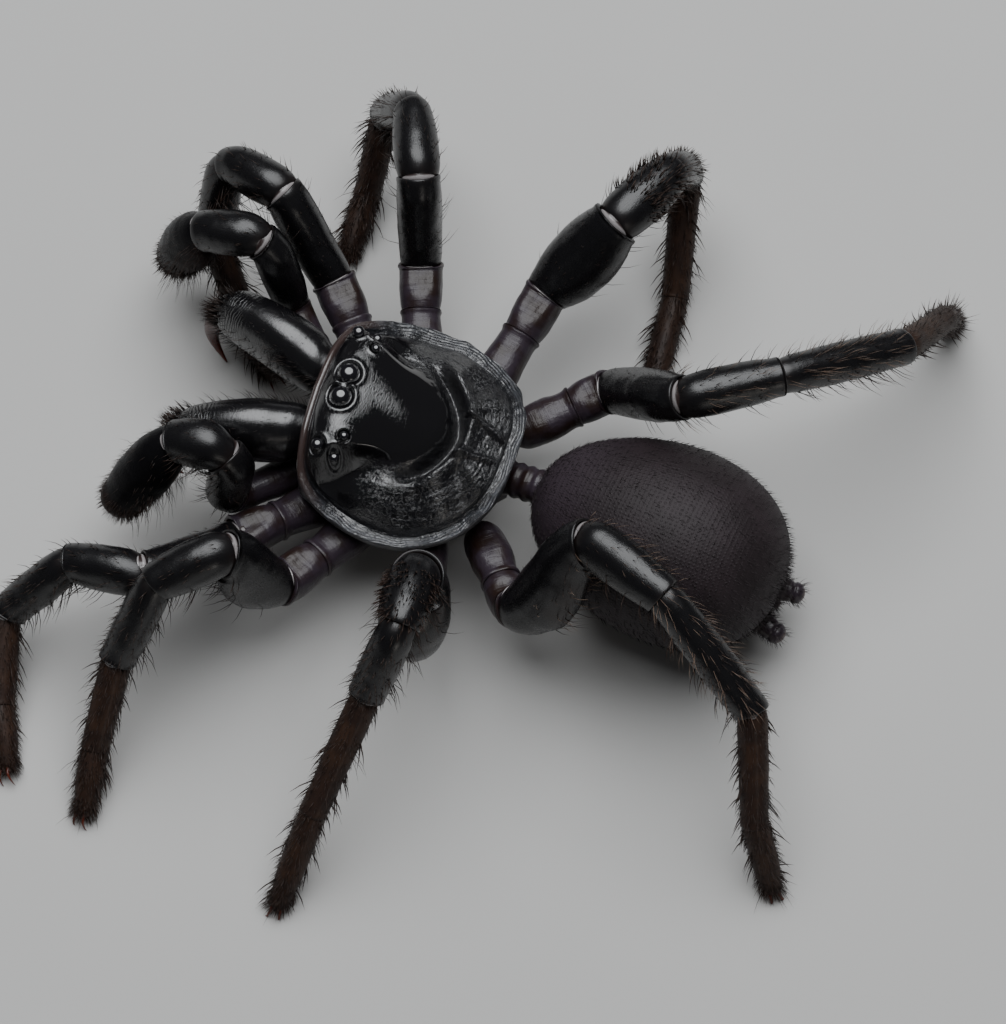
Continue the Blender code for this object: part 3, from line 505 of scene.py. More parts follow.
def foot_shell():
    """Dark brown shell of the feet, dull between its fine hairs."""
    finish = Finish("foot_shell", specular_ior_level=0.22)
    local = finish.kept("local", "Vector")
    grain = finish.noise(finish.scaled(local, (6.0, 10.0, 10.0)), 1.0, 5.0, 0.6)
    patches = finish.noise(local, 1.1, 3.0)
    finish.set("Base Color", finish.mix(patches.between(0.3, 0.75), BROWN_BLACK, colour(0.035, 0.017, 0.010)))
    finish.set("Roughness", 0.46 + grain * 0.2)
    finish.set("Coat Weight", 0.02 + patches * 0.05)
    pits = finish.cells(local, 5.5).between(0.0, 0.2)
    return finish.relief(grain * 0.6 + pits * 0.4, 0.025)


def tip_shell():
    """Black shell of a palp's swollen tip, dull below and browner towards its end."""
    finish = Finish("tip_shell", specular_ior_level=0.07)
    local = finish.kept("local", "Vector")
    top, left = finish.kept("top"), finish.kept("left_over")
    grain = finish.noise(finish.scaled(local, (7.0, 12.0, 12.0)), 1.0, 5.0, 0.6)
    brown = (1.0 - left.between(0.3, 2.0)) * 0.7 + (1.0 - top.between(-0.7, 0.4)) * 0.6
    finish.set("Base Color", finish.mix((brown * grain * 1.6).between(0.1, 0.9), BLACK, colour(0.028, 0.010, 0.007)))
    finish.set("Roughness", 0.24 + grain * 0.16 + brown * 0.16)
    return finish.relief(grain, 0.02)


def jaw_shell():
    """Very glossy black shell of the jaws, with cross furrows near the tip."""
    finish = Finish("jaw_shell", specular_ior_level=0.85)
    local = finish.kept("local", "Vector")
    along, left, top = finish.axis(local, "X"), finish.kept("left_over"), finish.kept("top")
    wander = finish.noise(local, 1.3, 3.0)
    furrows = ((along + wander * 0.5) * JAW_FURROWS).math("SINE") * 0.5 + 0.5
    tipward = 1.0 - left.between(1.0, 2.8)
    grain = finish.noise(finish.scaled(local, (7.0, 13.0, 13.0)), 1.0, 5.0, 0.6)
    scratches = finish.noise(finish.scaled(local, (14.0, 3.0, 3.0)), 1.0, 4.0, 0.6, 0.8)
    pores = finish.cells(local, 2.3).between(0.0, 0.12)
    below = 1.0 - top.between(-0.9, -0.1)
    finish.set("Base Color", finish.mix(below * 0.8, BLACK, BROWN_BLACK))
    finish.set("Roughness", 0.15 + grain * 0.10 + tipward * 0.05 + below * 0.2)
    finish.set("Coat Weight", 0.04 + pores * 0.04)
    height = grain * 0.3 + scratches * 0.8 + furrows * tipward * 1.7 + pores * 0.8
    return finish.relief(height, 0.014)


def back_shell():
    """Shell of the back: mirror black head part, wrinkled satin thorax with painted bluish sheen on its wrinkles, and
    a rim whose grey is partly its own worn colour and partly painted sheen.
    """
    finish = Finish("back_shell", specular_ior_level=1.0)
    rim_place = finish.kept("rim_place", "Vector")
    head, rim, front, brow = finish.kept("head"), finish.kept("rim"), finish.kept("front"), finish.kept("brow")
    place = finish.place()
    wrinkles = finish.noise(finish.scaled(rim_place, (3.0, 3.0, 9.0)), 1.0, 6.0, 0.7, 0.8)
    net = finish.cells(finish.moved(place, wrinkles * 0.35), 4.2, "DISTANCE_TO_EDGE").between(0.0, 0.22)
    fine = finish.noise(place, 9.0, 5.0, 0.65)
    folds = finish.noise(finish.scaled(place, (3.0, 10.0, 5.0)), 1.0, 4.0, 0.6, 1.6)
    thorax = 1.0 - head
    # Bluish grey on the thorax's wrinkles: painted sheen.
    wear_and_sheen = thorax * wrinkles.between(0.40, 0.70)
    dark = finish.mix(wear_and_sheen * 0.5, BLACK, colour(0.014, 0.015, 0.019))
    # Grey-blue on the rim: partly the rim's own worn grey, partly painted sheen.
    dark = finish.mix(rim * (0.2 + wrinkles.between(0.4, 0.65) * 0.7), dark, colour(0.052, 0.055, 0.064))
    finish.set("Base Color", finish.mix(front * (0.5 + fine * 0.5), dark, colour(0.050, 0.030, 0.026)))
    shine = 0.06 + thorax * (0.06 + wrinkles * 0.08) + fine * 0.02 + rim * 0.12
    finish.set("Roughness", shine + finish.kept("under") * 0.5)
    creased = thorax * (wrinkles * 0.8 + net * 0.25 + fine * 0.05)
    smooth = head * (folds * (brow * 0.45 + 0.012) + fine * 0.004)
    return finish.relief(creased + smooth, 0.034)


def fang_shell():
    """Glossy shell of the fangs and claws: nearly black at the root and red-brown towards the tip."""
    finish = Finish("fang_shell", specular_ior_level=0.4)
    local = finish.kept("local", "Vector")
    left = finish.kept("left_over")
    streaks = finish.noise(finish.scaled(local, (1.0, 6.0, 6.0)), 1.0, 3.0)
    tipward = 1.0 - left.between(0.2, 2.8)
    finish.set("Base Color", finish.mix(tipward * (0.7 + streaks * 0.3), colour(0.065, 0.010, 0.007), RED_BROWN))
    finish.set("Roughness", 0.16 + streaks * 0.1)
    return finish.relief(streaks, 0.012)


def abdomen_skin():
    """Leathery dark purple skin with fine cross rows of pits, each the socket of a short hair."""
    finish = Finish("abdomen_skin", specular_ior_level=0.27)
    along, around = finish.kept("along"), finish.kept("around")
    place = finish.place()
    wander = finish.noise(place, 1.1, 3.0) * 5.0
    row = (along * (math.tau / PIT_ROW) + wander).math("SINE")
    column = (around * PIT_COLUMNS + wander * 2.0).math("SINE")
    pits = (row * 0.6 + column * 0.4).between(0.15, 0.9)
    warts = 1.0 - finish.cells(place, 1.9).between(0.05, 0.13)
    grain = finish.noise(place, 14.0, 5.0, 0.65)
    folds = finish.noise(finish.scaled(place, (1.4, 5.0, 1.4)), 1.0, 4.0)
    patches = finish.noise(place, 0.45, 4.0)
    # Lighter towards the front of the abdomen: painted sheen.
    front = 1.0 - along.between(-4.5, -1.5)
    tone = finish.mix(patches.between(0.3, 0.7), colour(0.0125, 0.0082, 0.0095), colour(0.020, 0.0132, 0.0158))
    tone = finish.mix(front * 0.7, tone, colour(0.036, 0.026, 0.034))
    tone = finish.mix(finish.kept("lung") * 0.8, tone, colour(0.09, 0.06, 0.05))
    tone = finish.mix(pits * 0.3, tone, colour(0.007, 0.005, 0.006))
    finish.set("Base Color", finish.mix(warts * 0.8, tone, colour(0.006, 0.004, 0.004)))
    finish.set("Roughness", 0.46 + grain * 0.2 - warts * 0.2)
    return finish.relief((1.0 - pits) * 0.4 + grain * 0.5 + folds * 0.4 + warts * 0.9, 0.024)


def joint_skin():
    """Wrinkled skin between two shells of a limb, dark with pale lips; the pale is partly the skin's own colour and
    partly painted highlight.
    """
    finish = Finish("joint_skin", coat_roughness=0.15, specular_ior_level=0.6)
    local = finish.kept("local", "Vector")
    folds = finish.noise(finish.scaled(local, (9.0, 1.5, 1.5)), 1.0, 4.0, 0.6)
    lips = (finish.kept("lip") * (0.6 + folds * 0.8)).between(0.3, 0.9)
    # The lips are pale: partly the skin's own colour, partly painted highlight.
    finish.set("Base Color", finish.mix(lips, colour(0.022, 0.012, 0.011), PALE_SKIN_AND_HIGHLIGHT))
    finish.set("Roughness", 0.22 + folds * 0.2)
    finish.set("Coat Weight", 0.3 + folds * 0.2)
    return finish.relief(folds, 0.03)


def eye_lens():
    """Clear glossy lens over black."""
    finish = Finish("eye_lens", coat_roughness=0.16, specular_ior_level=0.6, coat_weight=1.0)
    place = finish.place()
    depth = finish.noise(place, 3.0, 2.0)
    finish.set("Base Color", finish.mix(depth, colour(0.002, 0.002, 0.003), colour(0.008, 0.007, 0.010)))
    finish.set("Roughness", 0.07 + depth * 0.04)
    return finish.relief(depth, 0.002)


def bristle(name, root_colour, tip_colour, rough):
    """A hair or spine, from its root's colour to its tip's."""
    finish = Finish(name, specular_ior_level=0.5)
    tipward = finish.kept("tipward")
    vary = finish.kept("vary")
    finish.set("Base Color", finish.mix(tipward * (0.4 + vary * 0.6), root_colour, tip_colour))
    finish.set("Roughness", rough + vary * 0.15)
    return finish.material


def plate_shell():
    """Plate under the body: satin brown-black, finely grained."""
    finish = Finish("plate_shell", coat_roughness=0.3)
    place = finish.place()
    grain = finish.noise(place, 6.0, 5.0, 0.6)
    finish.set("Base Color", finish.mix(grain.between(0.35, 0.7), BROWN_BLACK, PURPLE_BLACK))
    finish.set("Roughness", 0.36 + grain * 0.14)
    return finish.relief(grain, 0.03)


def floor_finish():
    """Plain pale floor with a faint mottle."""
    finish = Finish("pale_floor", specular_ior_level=0.2)
    place = finish.place()
    mottle = finish.noise(place, 0.05, 4.0)
    finish.set("Base Color", finish.mix(mottle, colour(0.46, 0.455, 0.445), colour(0.49, 0.485, 0.475)))
    finish.set("Roughness", 0.75 + mottle * 0.1)
    return finish.material


# Meshes


def add_piece(name, points, faces, material, values, replaced=()):
    """A piece from points in mm, with values kept at its points, that rides on the one body."""
    mesh = bpy.data.meshes.new(name)
    mesh.from_pydata((np.asarray(points, float) * MM + ORIGIN).tolist(), [], faces)
    for key, value in values.items():
        value = np.asarray(value, np.float32)
        kind = "FLOAT_VECTOR" if value.ndim > 1 else "FLOAT"
        kept = mesh.attributes.new(key, kind, "POINT")
        kept.data.foreach_set("vector" if value.ndim > 1 else "value", value.ravel())
    mesh.shade_smooth()
    mesh.materials.append(material)
    piece = bpy.data.objects.new(name, mesh)
    bpy.context.scene.collection.objects.link(piece)
    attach(piece, "root")
    if replaced:
        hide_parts(*replaced)
    return piece


def grid_faces(count, sides, start=0):
    """Quads between rings of points that run round, and a cap at each end."""
    corner = np.arange(count * sides).reshape(count, sides) + start
    after = np.roll(corner, -1, axis=1)
    quads = np.stack([corner[:-1], corner[1:], after[1:], after[:-1]], axis=-1).reshape(-1, 4).tolist()
    return quads + [corner[0].tolist(), corner[-1][::-1].tolist()]


def add_grid(name, rings, material, values, replaced=()):
    count, sides = rings.shape[:2]
    flat = {key: np.asarray(v, float).reshape(count * sides, *np.shape(v)[2:]) for key, v in values.items()}
    points = rings.reshape(-1, 3)
    return add_piece(name, points, grid_faces(count, sides), material, flat, replaced)


class Tube:
    """A swept form: ellipses along a line, each with its own heading and upper side."""

    def __init__(self, places, headings, across, half_widths, half_depths):
        self.places = np.asarray(places, float)
        self.headings = unit(headings)
        self.across, self.up = self.carried(across)
        self.half_widths = np.asarray(half_widths, float)
        self.half_depths = np.asarray(half_depths, float)
        gaps = np.linalg.norm(np.diff(self.places, axis=0), axis=1)
        self.spans = np.concatenate(([0.0], np.cumsum(gaps)))
        self.set_back = np.zeros(len(self.places))
        self.fold = np.zeros(len(self.places))
        self.lip = np.zeros(len(self.places))

    def carried(self, across):
        """The across and up directions, carried along the line without twist."""
        sideways, upper = [], []
        across = np.asarray(across, float)
        for heading in self.headings:
            across = unit(across - heading * (across @ heading))
            sideways.append(across)
            upper.append(np.cross(across, heading))
        return np.array(sideways), np.array(upper)

    def rings(self, sides, uneven=0.0):
        turn = np.arange(sides) * math.tau / sides
        wide = self.half_widths[:, None, None] * np.cos(turn)[None, :, None] * self.across[:, None, :]
        deep = self.half_depths[:, None, None] * np.sin(turn)[None, :, None] * self.up[:, None, :]
        upper = np.clip(np.sin(turn), 0.0, 1.0) ** 1.5
        slid = (self.set_back[:, None] * upper)[..., None] * self.headings[:, None, :]
        top = 0.5 * math.pi
        ridges = hump(turn, top - FOLD_APART, FOLD_WIDTH) + hump(turn, top + FOLD_APART, FOLD_WIDTH)
        folded = self.fold[:, None] * (0.6 * ridges - hump(turn, top, FOLD_WIDTH))
        rings = self.places[:, None, :] + (wide + deep) * (1.0 + folded)[..., None] + slid
        if uneven:
            swell = rough(rings, 0.9) + 0.4 * rough(rings, 2.3, 5.0)
            rings = rings + (wide + deep) * (uneven * swell)[..., None]
        return rings

    def values(self, sides):
        """Straightened place in mm, what is left to the far end, and 1 above to -1 below."""
        turn = np.arange(sides) * math.tau / sides
        along = np.repeat(self.spans[:, None], sides, axis=1)
        wide = self.half_widths[:, None] * np.cos(turn)
        deep = self.half_depths[:, None] * np.sin(turn)
        return {
            "local": np.stack([along, wide, deep], axis=-1),
            "left_over": self.spans[-1] - along,
            "lip": np.repeat(self.lip[:, None], sides, axis=1),
            "top": np.repeat(np.sin(turn)[None, :], len(self.spans), axis=0),
        }

    def spots(self, t, turn):
        """Points on the surface, their normals and headings, at t along and turn degrees round."""
        goal = np.clip(t, 0.0, 1.0) * self.spans[-1]
        read = lambda rows: np.stack([np.interp(goal, self.spans, rows[:, k]) for k in range(3)], axis=-1)
        wide, deep = np.interp(goal, self.spans, self.half_widths), np.interp(goal, self.spans, self.half_depths)
        cos, sin = np.cos(np.radians(turn)), np.sin(np.radians(turn))
        across, up = read(self.across), read(self.up)
        point = read(self.places) + across * (cos * wide)[:, None] + up * (sin * deep)[:, None]
        normal = unit(across * (cos / wide)[:, None] + up * (sin / deep)[:, None])
        return point, normal, unit(read(self.headings))


class Coat:
    """Hairs of one piece: thin closed spikes in one mesh, each with its patch of the coat's map."""

    def __init__(self, name, seed):
        self.name = name
        self.draw = np.random.default_rng(seed)
        self.points, self.maps, self.tipward, self.vary = [], [], [], []
        self.count = 0

    def add(self, roots, directions, bends, lengths, thickness, patches):
        """Spikes from roots; each bends towards its end, and thickness is at the root."""
        number = len(roots)
        side = unit(np.cross(directions, np.array((0.31, 0.52, 0.79))))
        other = np.cross(directions, side)
        vary = self.draw.random(number)
        lengths = np.asarray(lengths)[:, None]
        for share, size, tipward in ((-0.06, 1.0, 0.0), (0.5, 0.7, 0.5)):
            centre = roots + directions * lengths * share + bends * lengths * share * abs(share)
            for k in range(3):
                turn = k * math.tau / 3
                offset = (side * math.cos(turn) + other * math.sin(turn)) * 0.5 * thickness * size
                self.points.append(centre + offset)
                self.maps.append(patches + HAIR_PATCH * np.array((tipward - 0.25, (k - 1) * 0.5)))
                self.tipward.append(np.full(number, tipward))
                self.vary.append(vary)
        self.points.append(roots + directions * lengths + bends * lengths)
        self.maps.append(patches + HAIR_PATCH * np.array((0.5, 0.0)))
        self.tipward.append(np.ones(number))
        self.vary.append(vary)
        self.count += number

    def grow(self, tube, number, along, around, length, thickness, lean, curl=0.25, spread=0.25, shift=(0.0, 1.0)):
        """Spread hairs over a part of a tube. Lean is degrees from upright towards the far end."""
        draw = self.draw
        t = draw.uniform(*along, number)
        turn = draw.uniform(*around, number)
        points, normals, headings = tube.spots(t, turn)
        tilt = np.radians(lean + draw.normal(0.0, 8.0, number))[:, None]
        scatter = draw.normal(0.0, spread, (number, 3)) * 0.5
        directions = unit(normals * np.cos(tilt) + headings * np.sin(tilt) + scatter)
        inward = np.minimum((directions * normals).sum(axis=1), 0.1)[:, None] - 0.1
        directions = unit(directions - normals * inward)
        lengths = draw.uniform(*length, number)
        ends = points + directions * lengths[:, None]
        bends = headings * curl - normals * curl * 0.35
        bends[:, 2] = np.maximum(bends[:, 2], (HAIR_FLOOR - ends[:, 2]) / lengths)
        patches = np.stack([shift[0] + t * shift[1], (turn % 360.0) / 360.0], axis=-1)
        kept = (ends[:, 2] > HAIR_FLOOR + 0.01) & (points[:, 2] > HAIR_FLOOR - 0.01)
        self.add(points[kept], directions[kept], bends[kept], lengths[kept], thickness, patches[kept])

    def grow_rows(self, rows, tubes, lay=None):
        """Rows of bristles on named tubes; lay says where on the map each tube's patches start."""
        for part, *growth in rows:
            self.grow(tubes[part], *growth, shift=lay[part] if lay else (0.0, 1.0))

    def finish(self, material, slot="foot_shell"):
        """The piece: every hair has three corners at its root, three at its middle and a point."""
        groups, start, points, maps, tipward, vary = [], 0, [], [], [], []
        for first in range(0, len(self.points), 7):
            block = self.points[first:first + 7]
            number = len(block[0])
            points.append(np.stack(block, axis=1).reshape(-1, 3))
            maps.append(np.stack(self.maps[first:first + 7], axis=1).reshape(-1, 2))
            tipward.append(np.stack(self.tipward[first:first + 7], axis=1).ravel())
            vary.append(np.stack(self.vary[first:first + 7], axis=1).ravel())
            base = start + 7 * np.arange(number)[:, None]
            for pattern in ((0, 1, 2), (0, 2, 5, 3), (2, 1, 4, 5), (1, 0, 3, 4), (3, 5, 6), (5, 4, 6), (4, 3, 6)):
                groups += (base + np.array(pattern)).tolist()
            start += 7 * number
        values = {"tipward": np.concatenate(tipward), "vary": np.concatenate(vary)}
        piece = add_piece(self.name, np.concatenate(points), groups, material, values)
        flat = piece.data.uv_layers.new(name="OFBake")
        corners = np.zeros(len(piece.data.loops), np.int32)
        piece.data.loops.foreach_get("vertex_index", corners)
        flat.data.foreach_set("uv", np.concatenate(maps)[corners].astype(np.float32).ravel())
        return piece


# Body


def rough(points, scale, seed=0.0):
    """Smooth random heights from -1 to 1 at points, with hills about 1 / scale apart."""
    flat = (np.asarray(points, float).reshape(-1, 3) * scale + seed).tolist()
    return np.array([noise.noise(point) for point in flat]).reshape(np.shape(points)[:-1])


def rim_at(turn):
    """Rim of the back; turn goes from 0 at the front to 1 round the left side."""
    half = np.abs(np.where(turn <= 0.5, 2.0 * turn, 2.0 - 2.0 * turn))
    rim = blend(RIM, half)
    rim[:, 0] *= np.where(turn <= 0.5, 1.0, -1.0)
    return rim


def head_place(x, y):
    """0 on the line of the crown and 1 round the foot of the head part."""
    back = np.maximum(y - HEAD_WIDE_Y, 0.0) / HEAD_REAR_LENGTH
    behind = ((np.abs(x) / HEAD_HALF_WIDTH) ** HEAD_REAR_POWER + back ** HEAD_REAR_POWER) ** (1 / HEAD_REAR_POWER)
    half_width = HEAD_HALF_WIDTH + HEAD_FRONT_WIDER * step_between(HEAD_WIDE_Y, HEAD_FRONT_Y, y)
    return np.where(y > HEAD_WIDE_Y, behind, np.abs(x) / half_width)


def to_segment(x, y, start, end):
    """Distance to a segment, and how far along it from 0 to 1."""
    way = np.array(end) - start
    t = np.clip(((x - start[0]) * way[0] + (y - start[1]) * way[1]) / (way @ way), 0.0, 1.0)
    return np.hypot(x - start[0] - way[0] * t, y - start[1] - way[1] * t), t


def back_height(x, y, rho, rim_z):
    """Height of the back; rho is 0 at its centre and 1 at its rim. Also 0 to 1 on the head part."""
    facing = step_between(*FACING, y)
    flange_from = FLANGE_FROM + (CREST_FROM - FLANGE_FROM) * facing
    inner = np.clip(rho / flange_from, 0.0, 1.0)
    place = head_place(x, y)
    head = 1.0 - step_between(HEAD_FLANK, 1.0, place)
    aside, aside_rear = CROWN_FALL_ASIDE
    aside = aside + (aside_rear - aside) * step_between(*FALL_FROM, y)
    along = np.sqrt((y - CROWN_Y) ** 2 + CROWN_ROUND ** 2) - CROWN_ROUND
    crown = CROWN - aside * x ** 2 - CROWN_SLOPE * along
    thorax = rim_z + (THORAX_TOP - rim_z) * (1.0 - inner ** 2.8) ** 0.75
    dome = thorax + (crown - thorax) * head
    front = rim_z + (dome - rim_z) * (1.0 - inner ** FRONT_POWER) ** 0.6
    z = dome + (front - dome) * step_between(-1.2, -2.6, y)
    outward = np.clip((rho - flange_from) / (1.0 - flange_from), 0.0, 1.0)
    crest = CREST_HEIGHT * np.sin(math.pi * (0.12 + 0.86 * outward)) ** 0.4
    brim = BRIM_LIFT[0] + BRIM_LIFT[1] * outward ** 1.5
    foot = (0.05 + 0.05 * facing) * inner ** 12
    z = z + np.where(rho > flange_from, brim + (crest - brim) * facing, foot)
    z = z - (0.10 + 0.10 * facing) * hump(rho, flange_from - RIM_FURROW[0], RIM_FURROW[1])
    rear = step_between(-2.3, -0.7, y)
    z = z - GROOVE_DEPTH * (0.08 + 0.92 * rear) * hump(place, GROOVE_AT, GROOVE_WIDTH) * step_between(1.0, 0.8, inner)
    return z, head


def thorax_relief(x, y, rho, head):
    """Lip of the groove, ridges and swellings that run out from it, and folds along the rim."""
    place = head_place(x, y)
    clear = step_between(0.95, 0.8, rho) * (1.0 - head)
    rear = step_between(-2.0, -0.5, y)
    lip = LIP_HEIGHT * rear * hump(place, GROOVE_AT + 0.24, 0.13)
    ridge = 0.0
    for side in (1, -1):
        away, t = to_segment(x * side, y, *RIDGE_ENDS)
        ridge = ridge + RIDGE_HEIGHT * hump(away, 0.0, 0.13) * (1.0 - 0.4 * t)
    valley = -VALLEY_DEPTH * hump(x, 0.0, 0.6) * step_between(0.2, 0.7, y)
    angle = np.arctan2(x, y + 0.9)
    furrows = FURROW_HEIGHT * np.cos(angle * 9.0 + 1.2) * step_between(0.45, 0.62, rho)
    away_side = step_between(0.3, 0.7, np.abs(angle))
    return clear * (lip + ridge + valley + furrows * away_side)


def wrinkles_of(points, rho, turn, head, facing):
    """Fine folds of the thorax and of its rim."""
    flange = step_between(FLANGE_FROM - 0.02, FLANGE_FROM + 0.02, rho) * (1.0 - facing)
    wander = rough(points, 1.1)
    angle = turn * math.tau
    lines = np.sin((1.0 - rho) * RIM_LINES + wander * 9.0 + 2.0 * np.sin(9.0 * angle))
    broken = 0.35 + np.abs(rough(points, 2.3, 6.0)) * 1.6
    across = rough(np.stack([np.cos(angle) * 9.0 + rho * 0, np.sin(angle) * 9.0 + rho * 0, rho * 5.0], axis=-1), 1.6)
    round_it = np.stack([np.cos(angle) * 3.0 + rho * 0, np.sin(angle) * 3.0 + rho * 0, (1.0 - rho) * 18.0], axis=-1)
    nets = np.abs(rough(round_it, 1.5, 9.0)) + 0.35 * np.abs(rough(points, 6.0, 4.0))
    band = (1.0 - head) * (1.0 - flange) * step_between(-3.8, -1.9, points[..., 1])
    wear_and_sheen = (RIM_LINE_HEIGHT * lines * broken + RIM_WAVE_HEIGHT * across) * flange
    return wear_and_sheen - NET_HEIGHT * nets * band + 0.025 * band


def carapace(material):
    """Shell of the back: rings from its centre out to the rim, and back below it to the middle."""
    turn = np.arange(SHIELD_SIDES) / SHIELD_SIDES
    rim = rim_at(turn)
    ragged = 0.05 * rough(np.stack([rim[:, 0], rim[:, 1], rim[:, 1] * 0], axis=-1), 1.4, 3.0)
    ragged *= step_between(-4.5, -3.0, rim[:, 1])
    rho = np.sin(0.5 * math.pi * (np.arange(1, SHIELD_RINGS + 1) / SHIELD_RINGS))[:, None]
    reach = rho * (1.0 + ragged * rho ** 8 * 0.4)
    x = SHIELD_CENTRE[0] + (rim[None, :, 0] - SHIELD_CENTRE[0]) * reach
    y = SHIELD_CENTRE[1] + (rim[None, :, 1] - SHIELD_CENTRE[1]) * reach
    rho = np.broadcast_to(rho, x.shape)
    facing = np.broadcast_to(step_between(*FACING, y), x.shape)
    z, head = back_height(x, y, rho, rim[None, :, 2])
    z = z + thorax_relief(x, y, rho, head)
    z = z + wrinkles_of(np.stack([x, y, z], axis=-1), rho, turn[None, :], head, facing)
    from_brow = np.stack([x - BROW_CENTRE[0], y - BROW_CENTRE[1]], axis=-1) @ BROW_WAY
    brow = hump(np.hypot(from_brow[..., 0] / BROW_HALF[0], from_brow[..., 1] / BROW_HALF[1]), 0.0, 1.0)
    for centre, radius in EYES.values():
        for side in (1, -1):
            off = np.hypot(x - centre[0] * side, y - centre[1])
            z = z + EYE_RISE * hump(off, 1.5 * radius, 0.28 * radius)
            z = z - EYE_FURROW * hump(off, radius, 0.3 * radius)
            brow = np.maximum(brow, hump(off, 1.6 * radius, 1.6 * radius))
    top = np.stack([x, y, z], axis=-1)
    wall = step_between(FRONT_WALL[1], FRONT_WALL[0], rim[:, 1])
    low_rim = (rim[:, 2] - RIM_THICKNESS) * (1.0 - wall) + SHIELD_FLOOR * wall
    under = []
    for share in UNDER_SHARES:
        low = SHIELD_FLOOR + (low_rim - SHIELD_FLOOR) * share ** 4
        flat = SHIELD_CENTRE + (rim[:, :2] - SHIELD_CENTRE) * share
        under.append(np.concatenate([flat, low[:, None]], axis=1))
    under = np.array(under)
    rings = np.concatenate([top, under])
    blank = np.zeros(under.shape[:2])
    rho = np.concatenate([rho, np.repeat(UNDER_SHARES[:, None], SHIELD_SIDES, axis=1)])
    angle = np.broadcast_to(turn * math.tau, rho.shape)
    smooth_side = step_between(-2.2, -3.8, y) * (1.0 - hump(rho[:len(y)], 1.0, 0.09))
    rim_place = np.stack([np.cos(angle) * 3.0, np.sin(angle) * 3.0, (1.0 - rho) * 4.5], axis=-1)
    crest = facing * step_between(CREST_FROM - 0.01, CREST_FROM + 0.01, rho[:len(facing)])
    values = {
        "rim_place": rim_place, "rim": hump(rho, 0.98, 0.07),
        "head": np.concatenate([np.maximum(step_between(0.1, 0.6, head), smooth_side), blank]),
        "brow": np.concatenate([brow, blank]), "front": np.concatenate([crest, blank]),
        "under": np.concatenate([np.zeros(x.shape), np.ones(blank.shape)]),
    }
    add_grid("carapace_shell", rings, material, values, ("carapace",))


def rounded_end(t, start, length, least=0.002):
    """Share of its full size, along t, of a form that rounds off from start over a length."""
    return np.sqrt(np.clip(1.0 - (np.maximum(0.0, t - start) / length) ** 2, least, 1.0))


def mouth(finish, hair):
    """The lobe below the mouth, with short pegs, and hairs round it."""
    t = np.linspace(0.0, 1.0, 30)
    places = np.array(LOBE_ROOT) + np.array((0.0, -LOBE_LENGTH, LOBE_RISE)) * t[:, None]
    size = rounded_end(t, 0.35, 0.652) * (1.0 + 0.12 * hump(t, 0.45, 0.2))
    headings = np.tile((0.0, -1.0, 0.0), (30, 1))
    tube = Tube(places, headings, (1.0, 0.0, 0.0), LOBE_HALF[0] * size, LOBE_HALF[1] * size)
    add_grid("labium_shell", tube.rings(40, 0.04), finish, tube.values(40))
    coat = Coat("labium_pegs", 61)
    coat.grow_rows(LOBE_BRISTLES, {"lobe": tube})
    coat.finish(hair, "hip_shell")


def ball(centre, radius, flat=1.0, steps=24):
    """Rings of a ball from its bottom to its top."""
    rise = np.linspace(-0.5 * math.pi, 0.5 * math.pi, steps + 1)[1:-1]
    turn = -np.arange(2 * steps) * math.tau / (2 * steps)
    rings = np.stack([
        np.cos(rise)[:, None] * np.cos(turn), np.cos(rise)[:, None] * np.sin(turn),
        np.repeat(np.sin(rise)[:, None] * flat, 2 * steps, axis=1)], axis=-1)
    return rings * radius + np.asarray(centre)


def eyes(material):
    """Eight lenses, set in the furrows of the back."""
    for name, (centre, radius) in EYES.items():
        for side_name, side in (("left", 1), ("right", -1)):
            rings = ball((centre[0] * side, *centre[1:]), radius, EYE_FLATNESS)
            node = f"{name}_{side_name}"
            replaced = (node,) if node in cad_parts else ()
            add_grid(f"{node}_lens", rings, material, {}, replaced)


def jaws(shell, fang_finish, collar_finish, hair):
    """The two stout jaws, their bristles and their fangs."""
    for side_name, side in (("left", 1), ("right", -1)):
        base = np.array((JAW_BASE[0] * side, *JAW_BASE[1:]))
        tip = np.array(JAW_TIPS[side_name])
        axis = unit(tip - base)
        bent = np.sin(np.linspace(0.05, 1.0, 24) * 0.5 * math.pi)
        t = np.concatenate([np.linspace(-0.1, JAW_ROUND_FROM, 40), JAW_ROUND_FROM + JAW_ROUND_LENGTH * bent])
        arch = np.sin(math.pi * np.clip(t, 0.0, 1.0))[:, None] * np.array((0.0, 0.0, JAW_ARCH))
        places = base + (tip - base) * t[:, None] + arch
        turn_in = step_between(0.15, 0.0, t)[:, None]
        headings = unit(axis * (1.0 - turn_in) + np.array((0.0, -1.0, 0.0)) * turn_in)
        rounding = rounded_end(t, JAW_ROUND_FROM, JAW_ROUND_LENGTH + 0.002, 0.004)
        neck = 1.0 - JAW_NECK * step_between(0.06, -0.1, t)
        widths = 0.5 * blend(JAW_WIDTHS, t) * rounding * neck
        depths = 0.5 * blend(JAW_DEPTHS, t) * rounding * neck
        tube = Tube(places, headings, (-1.0, 0.0, 0.0), widths, depths)
        add_grid(f"chelicera_{side_name}_shell", tube.rings(72), shell, tube.values(72),
                 (f"chelicera_{side_name}",))
        coat = Coat(f"chelicera_{side_name}_bristles", 100 + side)
        for number, along, (first, last), *growth in JAW_BRISTLES:
            around = (first, last) if side > 0 else (180 - last, 180 - first)
            coat.grow(tube, number, along, around, *growth)
        coat.finish(hair)
        fang(side_name, side, tip, fang_finish, collar_finish)


